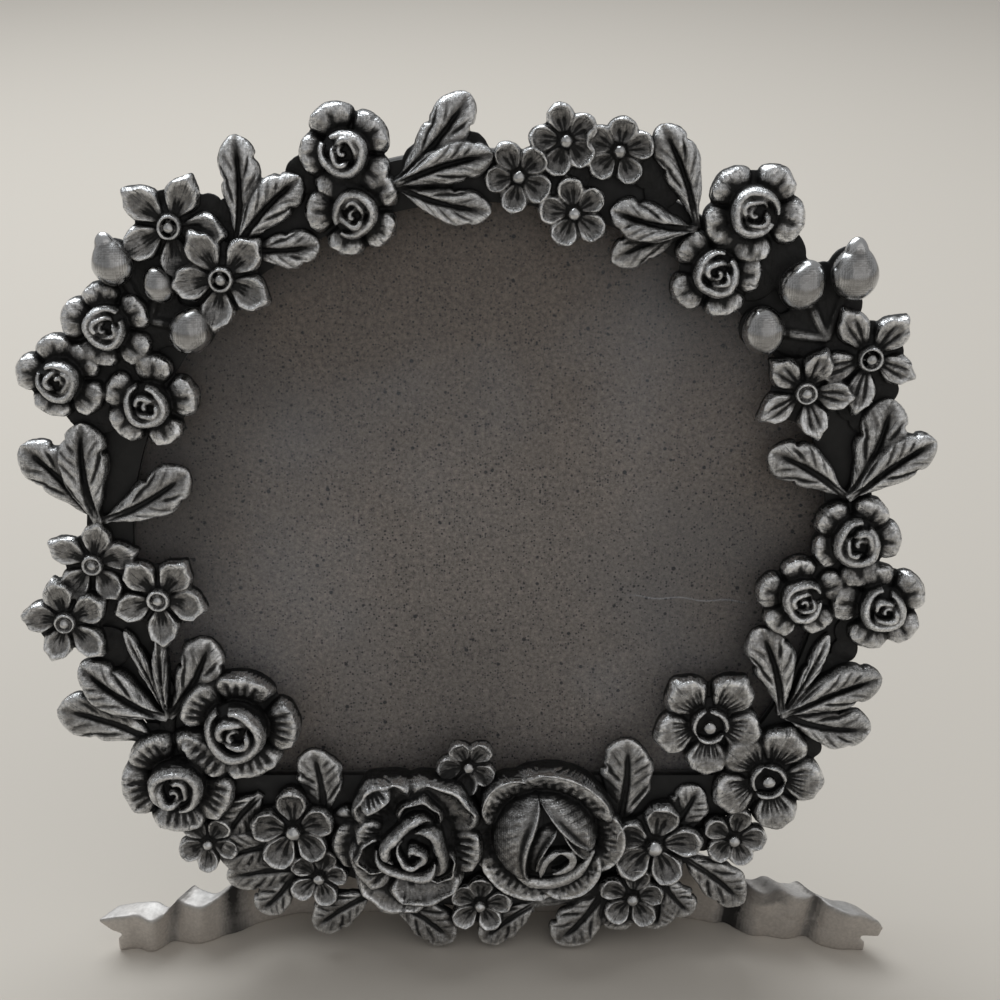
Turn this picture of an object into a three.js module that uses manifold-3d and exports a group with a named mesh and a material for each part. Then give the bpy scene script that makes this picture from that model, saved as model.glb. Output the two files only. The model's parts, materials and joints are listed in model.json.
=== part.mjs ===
// A round pewter picture frame: a ring with a wreath of cast flowers and leaves on its face,
// a ribbon foot under it, and a hinged easel leg and turn-buttons behind it.
// Millimetres, +Z up, front facing -Y. The ring group leans back, and inside it
// x is right, z is up along the face and y runs from the face (0) to the back.
import * as THREE from 'three';
import { mergeVertices } from 'three/addons/utils/BufferGeometryUtils.js';
import Module from 'manifold-3d';

const wasm = await Module();
wasm.setup();

// ring, glazing and back
const frameLean = 10;
const sightRadius = 35;
const rebateWidth = 1.4;
const rimWidth = 3.2;
const ringBevel = 0.5;
const lipThickness = 1.3;
const sillRise = 10.2;
const glazingThickness = 1.0;
const cardThickness = 0.7;
const panelThickness = 1.0;
const stackClearance = 0.1;
const discClearance = 0.3;
const leafGroundGap = 0.4;

// wreath; its layout and the ribbon's are drawn for a ring of the layout radius, and grow with the ring
const layoutRadius = 37.3;
const solderLine = 0.05;
const sprayGap = 0.25;
const stemWidth = 1.1;
const stemHeight = 0.8;
const bladeStem = 0.6;
const blossomHeight = 2.0;
const pistilHeight = 2.7;
const guardHeight = 2.0;
const heartHeight = 3.7;
const anemoneHeight = 2.2;
const leafHeight = 1.5;
const leafEdge = 0.7;
const leafGroove = 0.5;
const petalRoot = 1.1;
const petalLap = 0.75;

// turn-buttons and their rivets
const buttonLength = 8;
const buttonWidth = 3.4;
const buttonThickness = 0.8;
const buttonAngles = { top: 90, left: 210, right: 330 };
const rivetRadius = 0.6;
const rivetHead = 1.25;
const rivetHeadHeight = 0.6;
const rivetDepth = 2.0;
const rivetClearance = 0.2;

// easel
const hingeRise = 14;
const hingeOffset = 2.5;
const pinRadius = 0.8;
const pinClearance = 0.2;
const pinOverhang = 0.5;
const barrelWall = 0.9;
const bracketThickness = 0.8;
const bracketHeight = 9;
const earThickness = 1.0;
const earClearance = 0.3;
const bracketFlange = 3.6;
const bracketCorner = 1.2;
const legSplay = 13;
const legTopWidth = 8;
const legFootWidth = 13;
const legThickness = 1.4;
const legBead = 0.6;
const beadHalfWidth = 1.1;
const legNeck = 7;
const stopClearance = 0.2;

// ribbon foot
const ribbonThickness = 2.7;
const ribbonSeatOverlap = 1.0;
const ribbonSeatHalfWidth = 20.5;
const notchHeight = 2.3;

// facets of the round pieces
const roundSides = 44;
const pinSides = 12;
const rivetSides = 8;
const petalSides = 4;
const ribbonSteps = 40;

const rad = THREE.MathUtils.degToRad;
const fullTurn = Math.PI * 2;
const petalsPerFlower = 5;

const rebateRadius = sightRadius + rebateWidth;
const ringRadius = rebateRadius + rimWidth;
const wreathRadius = (sightRadius + ringRadius) / 2;
const glazingFront = lipThickness + stackClearance;
const cardFront = glazingFront + glazingThickness + stackClearance;
const panelFront = cardFront + cardThickness + stackClearance;
const panelBack = panelFront + panelThickness;
const ringThickness = panelBack + stackClearance;
const discRadius = rebateRadius - discClearance;
const pivotRadius = rebateRadius + rimWidth / 2;
const sillDrop = sightRadius - sillRise;

const pewter = new THREE.MeshStandardMaterial({ color: 0x8d8883, roughness: 0.42, metalness: 0.9 });
const palePewter = new THREE.MeshStandardMaterial({ color: 0xa39e99, roughness: 0.4, metalness: 0.9 });
const clearSheet = new THREE.MeshStandardMaterial({
  color: 0xe8eeee, roughness: 0.05, transparent: true, opacity: 0.2,
});
const greyCard = new THREE.MeshStandardMaterial({ color: 0x6f6a66, roughness: 0.95, metalness: 0 });
const blackPanel = new THREE.MeshStandardMaterial({ color: 0x24221f, roughness: 0.85, metalness: 0 });
const steel = new THREE.MeshStandardMaterial({ color: 0x9b9a97, roughness: 0.35, metalness: 1 });

// closed solids for joining and cutting
function solid(geometry) {
  const bare = geometry.index ? geometry.clone() : geometry;
  bare.deleteAttribute('normal');
  bare.deleteAttribute('uv');
  const merged = mergeVertices(bare, 1e-4);
  const index = merged.index.array;
  const triVerts = [];
  for (let i = 0; i < index.length; i += 3) {
    const [a, b, c] = [index[i], index[i + 1], index[i + 2]];
    if (a !== b && b !== c && a !== c) {
      triVerts.push(a, b, c);
    }
  }
  const vertProperties = new Float32Array(merged.attributes.position.array);
  if (signedVolume(vertProperties, triVerts) < 0) {
    triVerts.reverse();
  }
  const faces = new wasm.Mesh({ numProp: 3, vertProperties, triVerts: new Uint32Array(triVerts) });
  return new wasm.Manifold(faces);
}

function signedVolume(points, triangles) {
  const corner = (i) => new THREE.Vector3().fromArray(points, triangles[i] * 3);
  let total = 0;
  for (let i = 0; i < triangles.length; i += 3) {
    total += corner(i).dot(corner(i + 1).cross(corner(i + 2)));
  }
  return total;
}

function joined(solids) {
  return solids.reduce((sum, next) => sum.add(next));
}

function largestBody(manifold) {
  const bodies = manifold.decompose();
  return bodies.reduce((best, next) => (next.volume() > best.volume() ? next : best));
}

function mesh(name, manifold, material) {
  const result = manifold.getMesh();
  const geometry = new THREE.BufferGeometry();
  geometry.setAttribute('position', new THREE.BufferAttribute(new Float32Array(result.vertProperties), 3));
  geometry.setIndex(new THREE.BufferAttribute(new Uint32Array(result.triVerts), 1));
  geometry.computeVertexNormals();
  const part = new THREE.Mesh(geometry, material);
  part.name = name;
  return part;
}

function box(width, depth, height, x, y, z) {
  return new THREE.BoxGeometry(width, depth, height).translate(x, y, z);
}

// a round bar along y, from one y to another
function bar(radius, fromY, toY, x, z, sides) {
  const length = toY - fromY;
  return new THREE.CylinderGeometry(radius, radius, length, sides).translate(x, (fromY + toY) / 2, z);
}

function rivetHole(fromY, toY, x, z) {
  return solid(bar(rivetRadius + rivetClearance, fromY, toY, x, z, rivetSides));
}

// a plate that lies across y, with its back at y = 0 and its front a thickness before that
function plateGeometry(outline, thickness, curveSegments) {
  const plate = new THREE.ExtrudeGeometry(outline, { depth: thickness, bevelEnabled: false, curveSegments });
  return plate.rotateX(Math.PI / 2);
}

// a length of the layout on this ring
function drawn(length) {
  return (length * wreathRadius) / layoutRadius;
}

// a place on the wreath: degrees anticlockwise from the right, and a layout length out from mid-ring
function onWreath(angle, offset) {
  const radius = wreathRadius + drawn(offset);
  return { x: radius * Math.cos(rad(angle)), z: radius * Math.sin(rad(angle)) };
}

function stepFrom(place, direction, distance) {
  const [along, up] = [Math.cos(rad(direction)), Math.sin(rad(direction))];
  return { x: place.x + distance * along, z: place.z + distance * up };
}

// an ornament is a flat-backed relief: a polar outline,
// and a height over rings from its middle (0) to its edge (1)
function reliefGeometry({ segments, rings, outline, height, place, turn }) {
  const profile = [new THREE.Vector2(0, 0), new THREE.Vector2(1, 0)];
  for (const ring of [...rings].reverse()) {
    profile.push(new THREE.Vector2(ring, 1));
  }
  profile.push(new THREE.Vector2(0, 1));
  const geometry = new THREE.LatheGeometry(profile, segments);
  const position = geometry.attributes.position;
  for (let i = 0; i < position.count; i += 1) {
    const { x: share, y: level } = profile[i % profile.length];
    const step = Math.floor(i / profile.length) % segments;
    const angle = (step / segments) * fullTurn;
    const reach = share * outline(angle);
    const rise = level === 0 ? 0 : height(share, angle);
    position.setXYZ(i, reach * Math.cos(angle), -solderLine - rise, reach * Math.sin(angle));
  }
  return geometry.rotateY(-rad(turn)).translate(place.x, 0, place.z);
}

// the space an ornament takes from its neighbours: its outline grown by the gap, through the whole wreath
function clearanceGeometry(ornament) {
  const grown = (angle) => ornament.outline(angle) + sprayGap;
  const depth = heartHeight * 4;
  const plug = reliefGeometry({ ...ornament, rings: [1], outline: grown, height: () => depth });
  return plug.translate(0, heartHeight, 0);
}

// 0 between petals, 1 at the middle of a petal
function lobe(angle, count, roundness = 0.45) {
  return Math.abs(Math.cos((count * angle) / 2)) ** roundness;
}

// heights given at a few rings, with straight slopes between them
function slopes(table) {
  return (share) => {
    let [lastShare, lastRise] = table[0];
    for (const [atShare, atRise] of table) {
      if (share <= atShare) {
        const span = atShare - lastShare || 1;
        return lastRise + ((share - lastShare) / span) * (atRise - lastRise);
      }
      [lastShare, lastRise] = [atShare, atRise];
    }
    return lastRise;
  };
}

function blossom(angle, offset, radius, turn) {
  const size = drawn(radius);
  const profile = slopes([[0, pistilHeight], [0.3, petalRoot], [1, blossomHeight]]);
  return [{
    place: onWreath(angle, offset),
    turn,
    size,
    segments: petalSides * petalsPerFlower,
    rings: [0.3, 1],
    outline: (a) => size * (0.46 + 0.54 * lobe(a, petalsPerFlower)),
    height: (share, a) => profile(share) - (share > 0.3 ? 0.3 * (1 - lobe(a, petalsPerFlower)) : 0),
  }];
}

// guard petals round a rolled heart, whose outer wrap steps in once a turn
function rose(angle, offset, radius, turn) {
  const size = drawn(radius);
  const place = onWreath(angle, offset);
  const rise = heartHeight * (radius > 5 ? 1.15 : 1);
  const guard = slopes([[0, petalRoot], [1, guardHeight]]);
  const heart = slopes([[0, rise - 1.3], [0.34, rise], [0.6, rise - 0.9], [1, rise - 1.2]]);
  return [
    {
      place,
      turn,
      size,
      segments: petalSides * petalsPerFlower,
      rings: [1],
      outline: (a) => size * (0.72 + 0.28 * lobe(a, petalsPerFlower)),
      height: guard,
    },
    {
      place,
      turn,
      size: size / 2,
      segments: 10,
      rings: [0.34, 0.6, 1],
      outline: (a) => size * (0.44 + 0.08 * (a / fullTurn)),
      height: heart,
    },
  ];
}

function anemone(angle, offset, radius, turn) {
  const size = drawn(radius);
  const profile = slopes([
    [0, pistilHeight], [0.18, petalRoot], [0.3, pistilHeight], [0.4, petalRoot], [1, anemoneHeight],
  ]);
  return [{
    place: onWreath(angle, offset),
    turn,
    size,
    segments: petalSides * petalsPerFlower,
    rings: [0.18, 0.3, 0.4, 1],
    outline: (a) => size * (0.58 + 0.42 * lobe(a, petalsPerFlower)),
    height: profile,
  }];
}

// three tiers of petals, each smaller and higher, round a rolled heart
function openRose(angle, offset, radius, turn) {
  const size = drawn(radius);
  const place = onWreath(angle, offset);
  const tiers = [
    { reach: 1, petals: 7, rise: 2.4, spin: 0 },
    { reach: 0.74, petals: 5, rise: 3.7, spin: 25 },
  ];
  const petals = tiers.map(({ reach, petals: count, rise, spin }) => ({
    place,
    turn: turn + spin,
    size: size * reach,
    segments: petalSides * count,
    rings: [1],
    outline: (a) => size * reach * (0.86 + 0.14 * lobe(a, count)),
    height: slopes([[0, rise - petalRoot], [1, rise]]),
  }));
  const top = 4.8;
  const heart = {
    place,
    turn,
    size: size * 0.42,
    segments: 12,
    rings: [0.3, 0.5, 0.82, 1],
    outline: (a) => size * (0.36 + 0.1 * (a / fullTurn)),
    height: slopes([[0, top - 1.6], [0.3, top], [0.5, top - 1.1], [0.82, top - 0.3], [1, top - 1.5]]),
  };
  return [...petals, heart];
}

// a closed bud on a scalloped collar: two petals wrap it and part along a seam at the front
function wrappedBud(angle, offset, radius, turn) {
  const size = drawn(radius);
  const place = onWreath(angle, offset);
  const scallops = 9;
  const collar = {
    place,
    turn,
    size,
    segments: petalSides * scallops,
    rings: [1],
    outline: (a) => size * (0.9 + 0.1 * lobe(a, scallops)),
    height: slopes([[0, petalRoot], [1, guardHeight]]),
  };
  const crown = 5.8;
  const dome = slopes([
    [0, crown], [0.35, crown - 0.2], [0.65, crown - 0.9], [0.88, crown - 2.4], [1, crown - 4],
  ]);
  const seam = (share, a) => (share > 0 && share < 0.8 ? 1.1 * Math.max(0, Math.cos(a)) ** 8 : 0);
  const ball = {
    place,
    turn,
    size: size * 0.62,
    segments: 18,
    rings: [0.35, 0.65, 0.88, 1],
    outline: () => size * 0.62,
    height: (share, a) => dome(share) - seam(share, a),
  };
  return [collar, ball];
}

// a round bud, with a small nipple on the side that points away from its stem
function bud(angle, offset, radius, pointing) {
  const size = drawn(radius);
  const place = onWreath(angle, offset);
  const dome = (reach, centre) => ({
    place: centre,
    turn: pointing ?? 0,
    size: reach,
    segments: 10,
    rings: [0.65, 1],
    outline: () => reach,
    height: slopes([[0, reach * 1.5], [0.65, reach * 1.25], [1, reach * 0.6]]),
  });
  const heads = [dome(size, place)];
  if (pointing !== undefined) {
    heads.push(dome(size * 0.45, stepFrom(place, pointing, size * 1.15)));
  }
  return heads;
}

// a pointed leaf with a groove along its midrib
function leaf(base, direction, length, width) {
  const point = 1.45;
  const [halfLength, halfWidth] = [drawn(length) / 2, drawn(width) / 2];
  const along = (a) => Math.abs(Math.cos(a) / halfLength) ** point;
  const across = (a) => Math.abs(Math.sin(a) / halfWidth) ** point;
  const groove = (share, a) => (share === 0 ? leafGroove : leafGroove * Math.abs(Math.cos(a)) ** 6);
  return {
    place: stepFrom(base, direction, halfLength),
    turn: direction,
    size: halfLength,
    segments: 10,
    rings: [0.6, 1],
    outline: (a) => (along(a) + across(a)) ** (-1 / point),
    height: (share, a) => (share === 1 ? leafEdge : leafHeight - groove(share, a)),
  };
}

function stemGeometry({ from, to }, grow = 0) {
  const length = distance(from, to) + 2 * grow;
  return new THREE.BoxGeometry(length, stemHeight + 2 * grow, stemWidth + 2 * grow)
    .rotateY(-Math.atan2(to.z - from.z, to.x - from.x))
    .translate((from.x + to.x) / 2, -solderLine - stemHeight / 2, (from.z + to.z) / 2);
}

function distance(from, to) {
  return Math.hypot(to.x - from.x, to.z - from.z);
}

// flowers whose petals lap over each other, or else join the next one by a low stem behind them
function flowerSpray(name, ...flowers) {
  const heads = flowers.flat();
  const stems = [];
  for (let i = 1; i < flowers.length; i += 1) {
    const [last, next] = [flowers[i - 1][0], flowers[i][0]];
    if (distance(last.place, next.place) > petalLap * (last.size + next.size)) {
      stems.push({ from: last.place, to: next.place });
    }
  }
  return { name, heads, stems };
}

// leaves that fan out from one place; each blade rides on its own low stem
function leafSpray(name, base, ...blades) {
  const heads = blades.map(([direction, length, width]) => leaf(base, direction, length, width));
  const stems = blades.map(([direction, length]) => ({
    from: base,
    to: stepFrom(base, direction, drawn(length) * bladeStem),
  }));
  return { name, heads, stems };
}

// leaves that leave one main stem at several places
function leafBranch(name, ...blades) {
  const sprays = blades.map(([angle, offset, ...blade]) => leafSpray(name, onWreath(angle, offset), blade));
  const feet = blades.map(([angle, offset]) => onWreath(angle, offset));
  const runs = feet.slice(1).map((to, i) => ({ from: feet[i], to }));
  return {
    name,
    heads: sprays.flatMap((spray) => spray.heads),
    stems: [...runs, ...sprays.flatMap((spray) => spray.stems)],
  };
}

function budSprig(name, fork, ...buds) {
  const stems = buds.map((heads) => ({ from: fork, to: heads[0].place }));
  return { name, heads: buds.flat(), stems };
}

function withSepals(spray, base, ...blades) {
  const sepals = leafSpray(spray.name, base, ...blades);
  return {
    name: spray.name,
    heads: [...spray.heads, ...sepals.heads],
    stems: [...spray.stems, ...sepals.stems],
  };
}

// a spray that stands off the ring reaches it by a low stem
function rooted(spray, from, to) {
  return { ...spray, stems: [...spray.stems, { from, to }] };
}

// the wreath, front layer first: each spray gives way to the ones above it in this list.
// A flower is [angle, offset, radius, turn] and a leaf [direction, length, width]
const sprays = [
  flowerSpray('rosebud_large', wrappedBud(282.5, -5.8, 7.8, 85)),
  withSepals(
    flowerSpray('rose_large_open', openRose(257.5, -5.2, 7.2, 20)),
    onWreath(257.5, -5.2), [166, 9, 3.4], [192, 9.5, 3.2],
  ),
  flowerSpray('blossom_centre_top', blossom(267, -14, 3.1, 45)),
  flowerSpray('blossom_centre_low', blossom(270, 2.2, 3.4, 11)),
  flowerSpray('rose_pair_low_left', rose(216, -6.3, 6.0, 3), rose(218, 3, 5.5, 53)),
  flowerSpray('anemone_pair', anemone(322.5, -7.3, 5.7, 57), anemone(321, 1.6, 5.8, 64)),
  flowerSpray('rose_pair_top_left', rose(107.5, 4.8, 4.5, 40), rose(109, -1.1, 4.3, 36)),
  flowerSpray('rose_pair_top_right', rose(53.5, 6, 4.6, 55), rose(52, -1, 4.2, 66)),
  flowerSpray(
    'rose_trio_right',
    rose(3, 0.2, 4.5, 65), rose(352.5, -4.5, 4.1, 21), rose(353, 3.6, 4.5, 31),
  ),
  flowerSpray(
    'rose_trio_left',
    rose(155.5, 7.2, 4.1, 32), rose(146.5, 5.3, 4.1, 27), rose(153.5, -1.4, 4.3, 9),
  ),
  flowerSpray(
    'blossom_cluster_top',
    blossom(75.5, -2.1, 3.2, 33), blossom(84.5, 0.3, 3.3, 47),
    blossom(79, 4.2, 3.2, 34), blossom(72, 4.5, 3.2, 9),
  ),
  flowerSpray('blossom_pair_right', blossom(28.5, 5.4, 4.6, 47), blossom(28.5, -1.5, 4.3, 70)),
  flowerSpray('blossom_pair_upper_left', blossom(131.5, 6.6, 4.5, 66), blossom(131, -0.1, 4.5, 48)),
  flowerSpray(
    'blossom_trio_left',
    blossom(181, 1.4, 4.0, 5), blossom(187.5, -4.4, 4.5, 58), blossom(189, 5.2, 4.4, 27),
  ),
  flowerSpray('blossom_pair_bottom_left', blossom(237, -1, 4.4, 23), blossom(244.5, 2.9, 3.2, 3)),
  rooted(flowerSpray('blossom_low_left', blossom(228, 6, 3.1, 55)), onWreath(228, 6), onWreath(228, 1)),
  flowerSpray('blossom_pair_bottom_right', blossom(300, -0.2, 4.6, 9), blossom(293, 4.7, 3.5, 10)),
  flowerSpray('blossom_low_right', blossom(310.5, 4.4, 3.3, 3)),
  budSprig(
    'bud_sprig_right', onWreath(33.5, 2.7),
    bud(42, 3.8, 2.2), bud(39, 8.2, 2.3, 86), bud(40.5, -1.7, 2.1),
  ),
  budSprig(
    'bud_sprig_left', onWreath(143, 2.4),
    bud(138, 3.7, 1.6), bud(139.5, 8.3, 2.0, 104), bud(140, -1.3, 2.1),
  ),
  leafSpray('leaf_spray_upper_left', onWreath(126.5, 1.2), [89, 10.3, 3.9], [46, 9, 4.2], [1, 7.8, 3.6]),
  leafSpray('leaf_spray_top', onWreath(103.5, -0.2), [53, 11.3, 4.6], [17, 9.8, 4.0], [-15, 9.5, 3.6]),
  leafSpray('leaf_spray_top_right', onWreath(58, 1.2), [107, 10.2, 4.5], [168, 8.4, 4.0], [201, 8.5, 3.6]),
  leafSpray('leaf_spray_right', onWreath(9.5, -0.3), [70, 10.8, 5.0], [35, 10.2, 5.0], [149, 9.3, 4.6]),
  leafSpray(
    'leaf_spray_low_right', onWreath(331, -1.5),
    [106, 10.1, 4.8], [23, 11, 4.8], [-11, 9.7, 4.6], [64, 10, 1.6],
  ),
  leafSpray('leaf_spray_left', onWreath(174.5, 0.9), [132, 10.6, 5.0], [95, 10.3, 5.0], [29, 10.6, 4.6]),
  leafSpray(
    'leaf_spray_low_left', onWreath(208, -0.6),
    [56, 10, 5.2], [144, 10.3, 4.6], [174, 10.5, 5.0], [112, 10.5, 1.6], [92, 9.5, 1.6],
  ),
  leafBranch('leaves_bottom_left', [242.5, 2.6, 189, 9, 3.8], [241, 4.6, 228, 5.6, 3.8]),
  leafBranch('leaf_bottom_left_up', [241.5, -4.2, 98, 7.7, 5.0]),
  leafBranch(
    'leaves_bottom_centre',
    [253, 3.1, 215, 7.6, 4.6], [256, 3, 321, 9.2, 4.8], [278.5, 3, 219, 7.9, 4.4],
    [289, 3.4, 232, 8.6, 5.0], [290, 3.4, 296, 5.2, 4.2],
  ),
  leafBranch('leaf_bottom_right_up', [296, -3.7, 86, 10, 5.6]),
  leafBranch(
    'leaves_bottom_right',
    [302, -0.2, 58, 6.7, 4.4], [302.5, 3.2, 320, 8.9, 4.6],
    [298, 4.4, 308, 5.6, 3.8], [296.5, 5, 272, 5.2, 4.2],
  ),
];

function near(one, other) {
  const reach = one.size + other.size + 2 * sprayGap;
  return distance(one.place, other.place) < reach;
}

// heads give way to the heads in front of them, and every head leaves room for its neighbours' stems
function sprayMesh(spray, order) {
  let heads = joined(spray.heads.map((head) => solid(reliefGeometry(head))));
  for (const other of sprays.slice(0, order)) {
    for (const taken of other.heads.filter((head) => spray.heads.some((own) => near(own, head)))) {
      heads = heads.subtract(solid(clearanceGeometry(taken)));
    }
  }
  let stems = null;
  for (const stem of spray.stems) {
    const next = solid(stemGeometry(stem));
    stems = stems ? stems.add(next) : next;
  }
  sprays.forEach((other, otherOrder) => {
    if (other === spray) {
      return;
    }
    for (const stem of other.stems) {
      const channel = solid(stemGeometry(stem, sprayGap));
      heads = heads.subtract(channel);
      if (stems && otherOrder < order) {
        stems = stems.subtract(channel);
      }
    }
  });
  const body = stems ? heads.add(stems) : heads;
  return mesh(spray.name, largestBody(body), pewter);
}

// how far below the ring's centre the leaning wreath reaches
function lowestReach(meshes) {
  const lean = new THREE.Matrix4().makeRotationX(-rad(frameLean));
  return Math.min(...meshes.map(({ geometry }) => {
    const leaning = geometry.clone().applyMatrix4(lean);
    leaning.computeBoundingBox();
    return leaning.boundingBox.min.z;
  }));
}

const wreath = sprays.map(sprayMesh);
const ringHeight = leafGroundGap - lowestReach(wreath);

function ringMesh() {
  const profile = [
    [sightRadius, ringBevel], [sightRadius + ringBevel, 0], [ringRadius - ringBevel, 0],
    [ringRadius, ringBevel], [ringRadius, ringThickness], [rebateRadius, ringThickness],
    [rebateRadius, lipThickness], [sightRadius, lipThickness], [sightRadius, ringBevel],
  ].map(([radius, y]) => new THREE.Vector2(radius, y));
  const sillRadius = sightRadius + rebateWidth / 2;
  const halfSill = Math.acos(sillDrop / sillRadius);
  const sillShape = new THREE.Shape();
  sillShape.absarc(0, 0, sillRadius, -Math.PI / 2 - halfSill, -Math.PI / 2 + halfSill, false);
  sillShape.closePath();
  const sill = plateGeometry(sillShape, lipThickness, roundSides / 4).translate(0, lipThickness, 0);
  let ring = solid(new THREE.LatheGeometry(profile, roundSides)).add(solid(sill));
  for (const angle of Object.values(buttonAngles)) {
    const { x, z } = onWreath(angle, pivotRadius - wreathRadius);
    const floor = ringThickness - rivetDepth - rivetClearance;
    ring = ring.subtract(rivetHole(floor, ringThickness + 1, x, z));
  }
  return mesh('frame_ring', ring, pewter);
}

function discMesh(name, front, thickness, material, holes = []) {
  let disc = solid(bar(discRadius, front, front + thickness, 0, 0, roundSides));
  for (const { x, z } of holes) {
    disc = disc.subtract(rivetHole(front - 1, front + thickness + 1, x, z));
  }
  return mesh(name, disc, material);
}

// a plate with round ends that turns on a rivet at its outer end
function turnButtonMesh(name, angle) {
  const end = buttonWidth / 2;
  const reach = buttonLength - buttonWidth;
  const outline = new THREE.Shape();
  outline.absarc(0, 0, end, -Math.PI / 2, Math.PI / 2, false);
  outline.absarc(-reach, 0, end * 0.8, Math.PI / 2, Math.PI * 1.5, false);
  outline.closePath();
  outline.holes.push(new THREE.Path().absarc(0, 0, rivetRadius + rivetClearance, 0, fullTurn, true));
  const { x, z } = onWreath(angle, pivotRadius - wreathRadius);
  const plate = plateGeometry(outline, buttonThickness, rivetSides / 2).rotateY(-rad(angle));
  plate.translate(x, ringThickness + stackClearance + buttonThickness, z);
  return mesh(name, solid(plate), steel);
}

// a shank from its tail to the underside of a low domed head
function rivetGeometry(tail, seat, x, z) {
  const profile = [
    [0, tail], [rivetRadius, tail], [rivetRadius, seat], [rivetHead, seat],
    [rivetHead * 0.75, seat + rivetHeadHeight * 0.75], [0, seat + rivetHeadHeight],
  ].map(([radius, y]) => new THREE.Vector2(radius, y));
  return new THREE.LatheGeometry(profile, rivetSides).translate(x, 0, z);
}

function buttonRivetMesh(name, angle) {
  const { x, z } = onWreath(angle, pivotRadius - wreathRadius);
  const seat = ringThickness + 2 * stackClearance + buttonThickness;
  return mesh(name, solid(rivetGeometry(ringThickness - rivetDepth, seat, x, z)), steel);
}

// hinge bracket: a plate on the back panel with two ears that hold the pin
const plateFront = panelBack + stackClearance;
const plateBack = plateFront + bracketThickness;
const hingeDepth = plateBack + hingeOffset;
const earInner = legTopWidth / 2 + earClearance;
const earMiddle = earInner + earThickness / 2;
const earRadius = pinRadius + pinClearance + barrelWall;
const bracketHalfWidth = earInner + earThickness + bracketFlange;
const bracketRivets = {
  left: { x: -bracketHalfWidth + bracketFlange / 2, z: hingeRise },
  right: { x: bracketHalfWidth - bracketFlange / 2, z: hingeRise },
};

// a round bar along x, through the middle
function pinBar(radius, halfLength) {
  return new THREE.CylinderGeometry(radius, radius, 2 * halfLength, pinSides).rotateZ(Math.PI / 2);
}

function bracketMesh() {
  const [corner, halfWidth, halfHeight] = [bracketCorner, bracketHalfWidth, bracketHeight / 2];
  const outline = new THREE.Shape();
  outline.absarc(halfWidth - corner, halfHeight - corner, corner, 0, Math.PI / 2, false);
  outline.absarc(-halfWidth + corner, halfHeight - corner, corner, Math.PI / 2, Math.PI, false);
  outline.absarc(-halfWidth + corner, -halfHeight + corner, corner, Math.PI, Math.PI * 1.5, false);
  outline.absarc(halfWidth - corner, -halfHeight + corner, corner, Math.PI * 1.5, fullTurn, false);
  outline.closePath();
  const plate = plateGeometry(outline, bracketThickness, pinSides / 4).translate(0, plateBack, hingeRise);
  let bracket = solid(plate);
  for (const side of [-1, 1]) {
    const round = pinBar(earRadius, earThickness / 2).translate(side * earMiddle, hingeDepth, hingeRise);
    const depth = hingeDepth - plateFront;
    const foot = box(earThickness, depth, 2 * earRadius, side * earMiddle, plateFront + depth / 2, hingeRise);
    bracket = bracket.add(solid(round)).add(solid(foot));
  }
  const pinHole = pinBar(pinRadius + pinClearance, bracketHalfWidth + 1);
  bracket = bracket.subtract(solid(pinHole.translate(0, hingeDepth, hingeRise)));
  for (const { x, z } of Object.values(bracketRivets)) {
    bracket = bracket.subtract(rivetHole(plateFront - 1, plateBack + 1, x, z));
  }
  return mesh('hinge_bracket', bracket, steel);
}

function hingePinMesh() {
  const halfLength = earInner + earThickness + pinOverhang;
  const pin = pinBar(pinRadius, halfLength).translate(0, hingeDepth, hingeRise);
  return mesh('hinge_pin', solid(pin), steel);
}

// the leg in its own frame: the pin at the origin, the leg down -z, its back to +y
const openAngle = legSplay + frameLean;
const hingeHeight = ringHeight + hingeRise * Math.cos(rad(frameLean)) - hingeDepth * Math.sin(rad(frameLean));
const legLength = hingeHeight / Math.cos(rad(legSplay));
const heelReach = hingeOffset - stopClearance - (legThickness / 2) * Math.cos(rad(openAngle));
const heelLength = heelReach / Math.sin(rad(openAngle));

function legMesh() {
  const [top, foot] = [legTopWidth / 2, legFootWidth / 2];
  const extra = legFootWidth / 2;
  const outline = new THREE.Shape();
  outline.moveTo(-top, heelLength);
  outline.lineTo(-top, -legNeck);
  outline.quadraticCurveTo(-top * 0.75, -legLength / 2, -foot, -legLength - extra);
  outline.lineTo(foot, -legLength - extra);
  outline.quadraticCurveTo(top * 0.75, -legLength / 2, top, -legNeck);
  outline.lineTo(top, heelLength);
  outline.closePath();
  const strip = plateGeometry(outline, legThickness, rivetSides).translate(0, legThickness / 2, 0);
  const beadLength = legLength - 2 * legNeck;
  const bead = new THREE.CapsuleGeometry(1, beadLength, 3, rivetSides);
  bead.scale(beadHalfWidth, 1, legThickness / 2 + legBead);
  bead.rotateX(Math.PI / 2).translate(0, 0, -legNeck - beadLength / 2);
  let leg = solid(strip).add(solid(bead)).add(solid(pinBar(earRadius, top)));
  leg = leg.subtract(solid(pinBar(pinRadius + pinClearance, top + 1)));
  const table = box(4 * legFootWidth, 4 * legFootWidth, 4 * extra, 0, 0, -hingeHeight - 2 * extra);
  table.rotateX(-rad(legSplay));
  return mesh('easel_leg', leg.subtract(solid(table)), palePewter);
}

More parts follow.
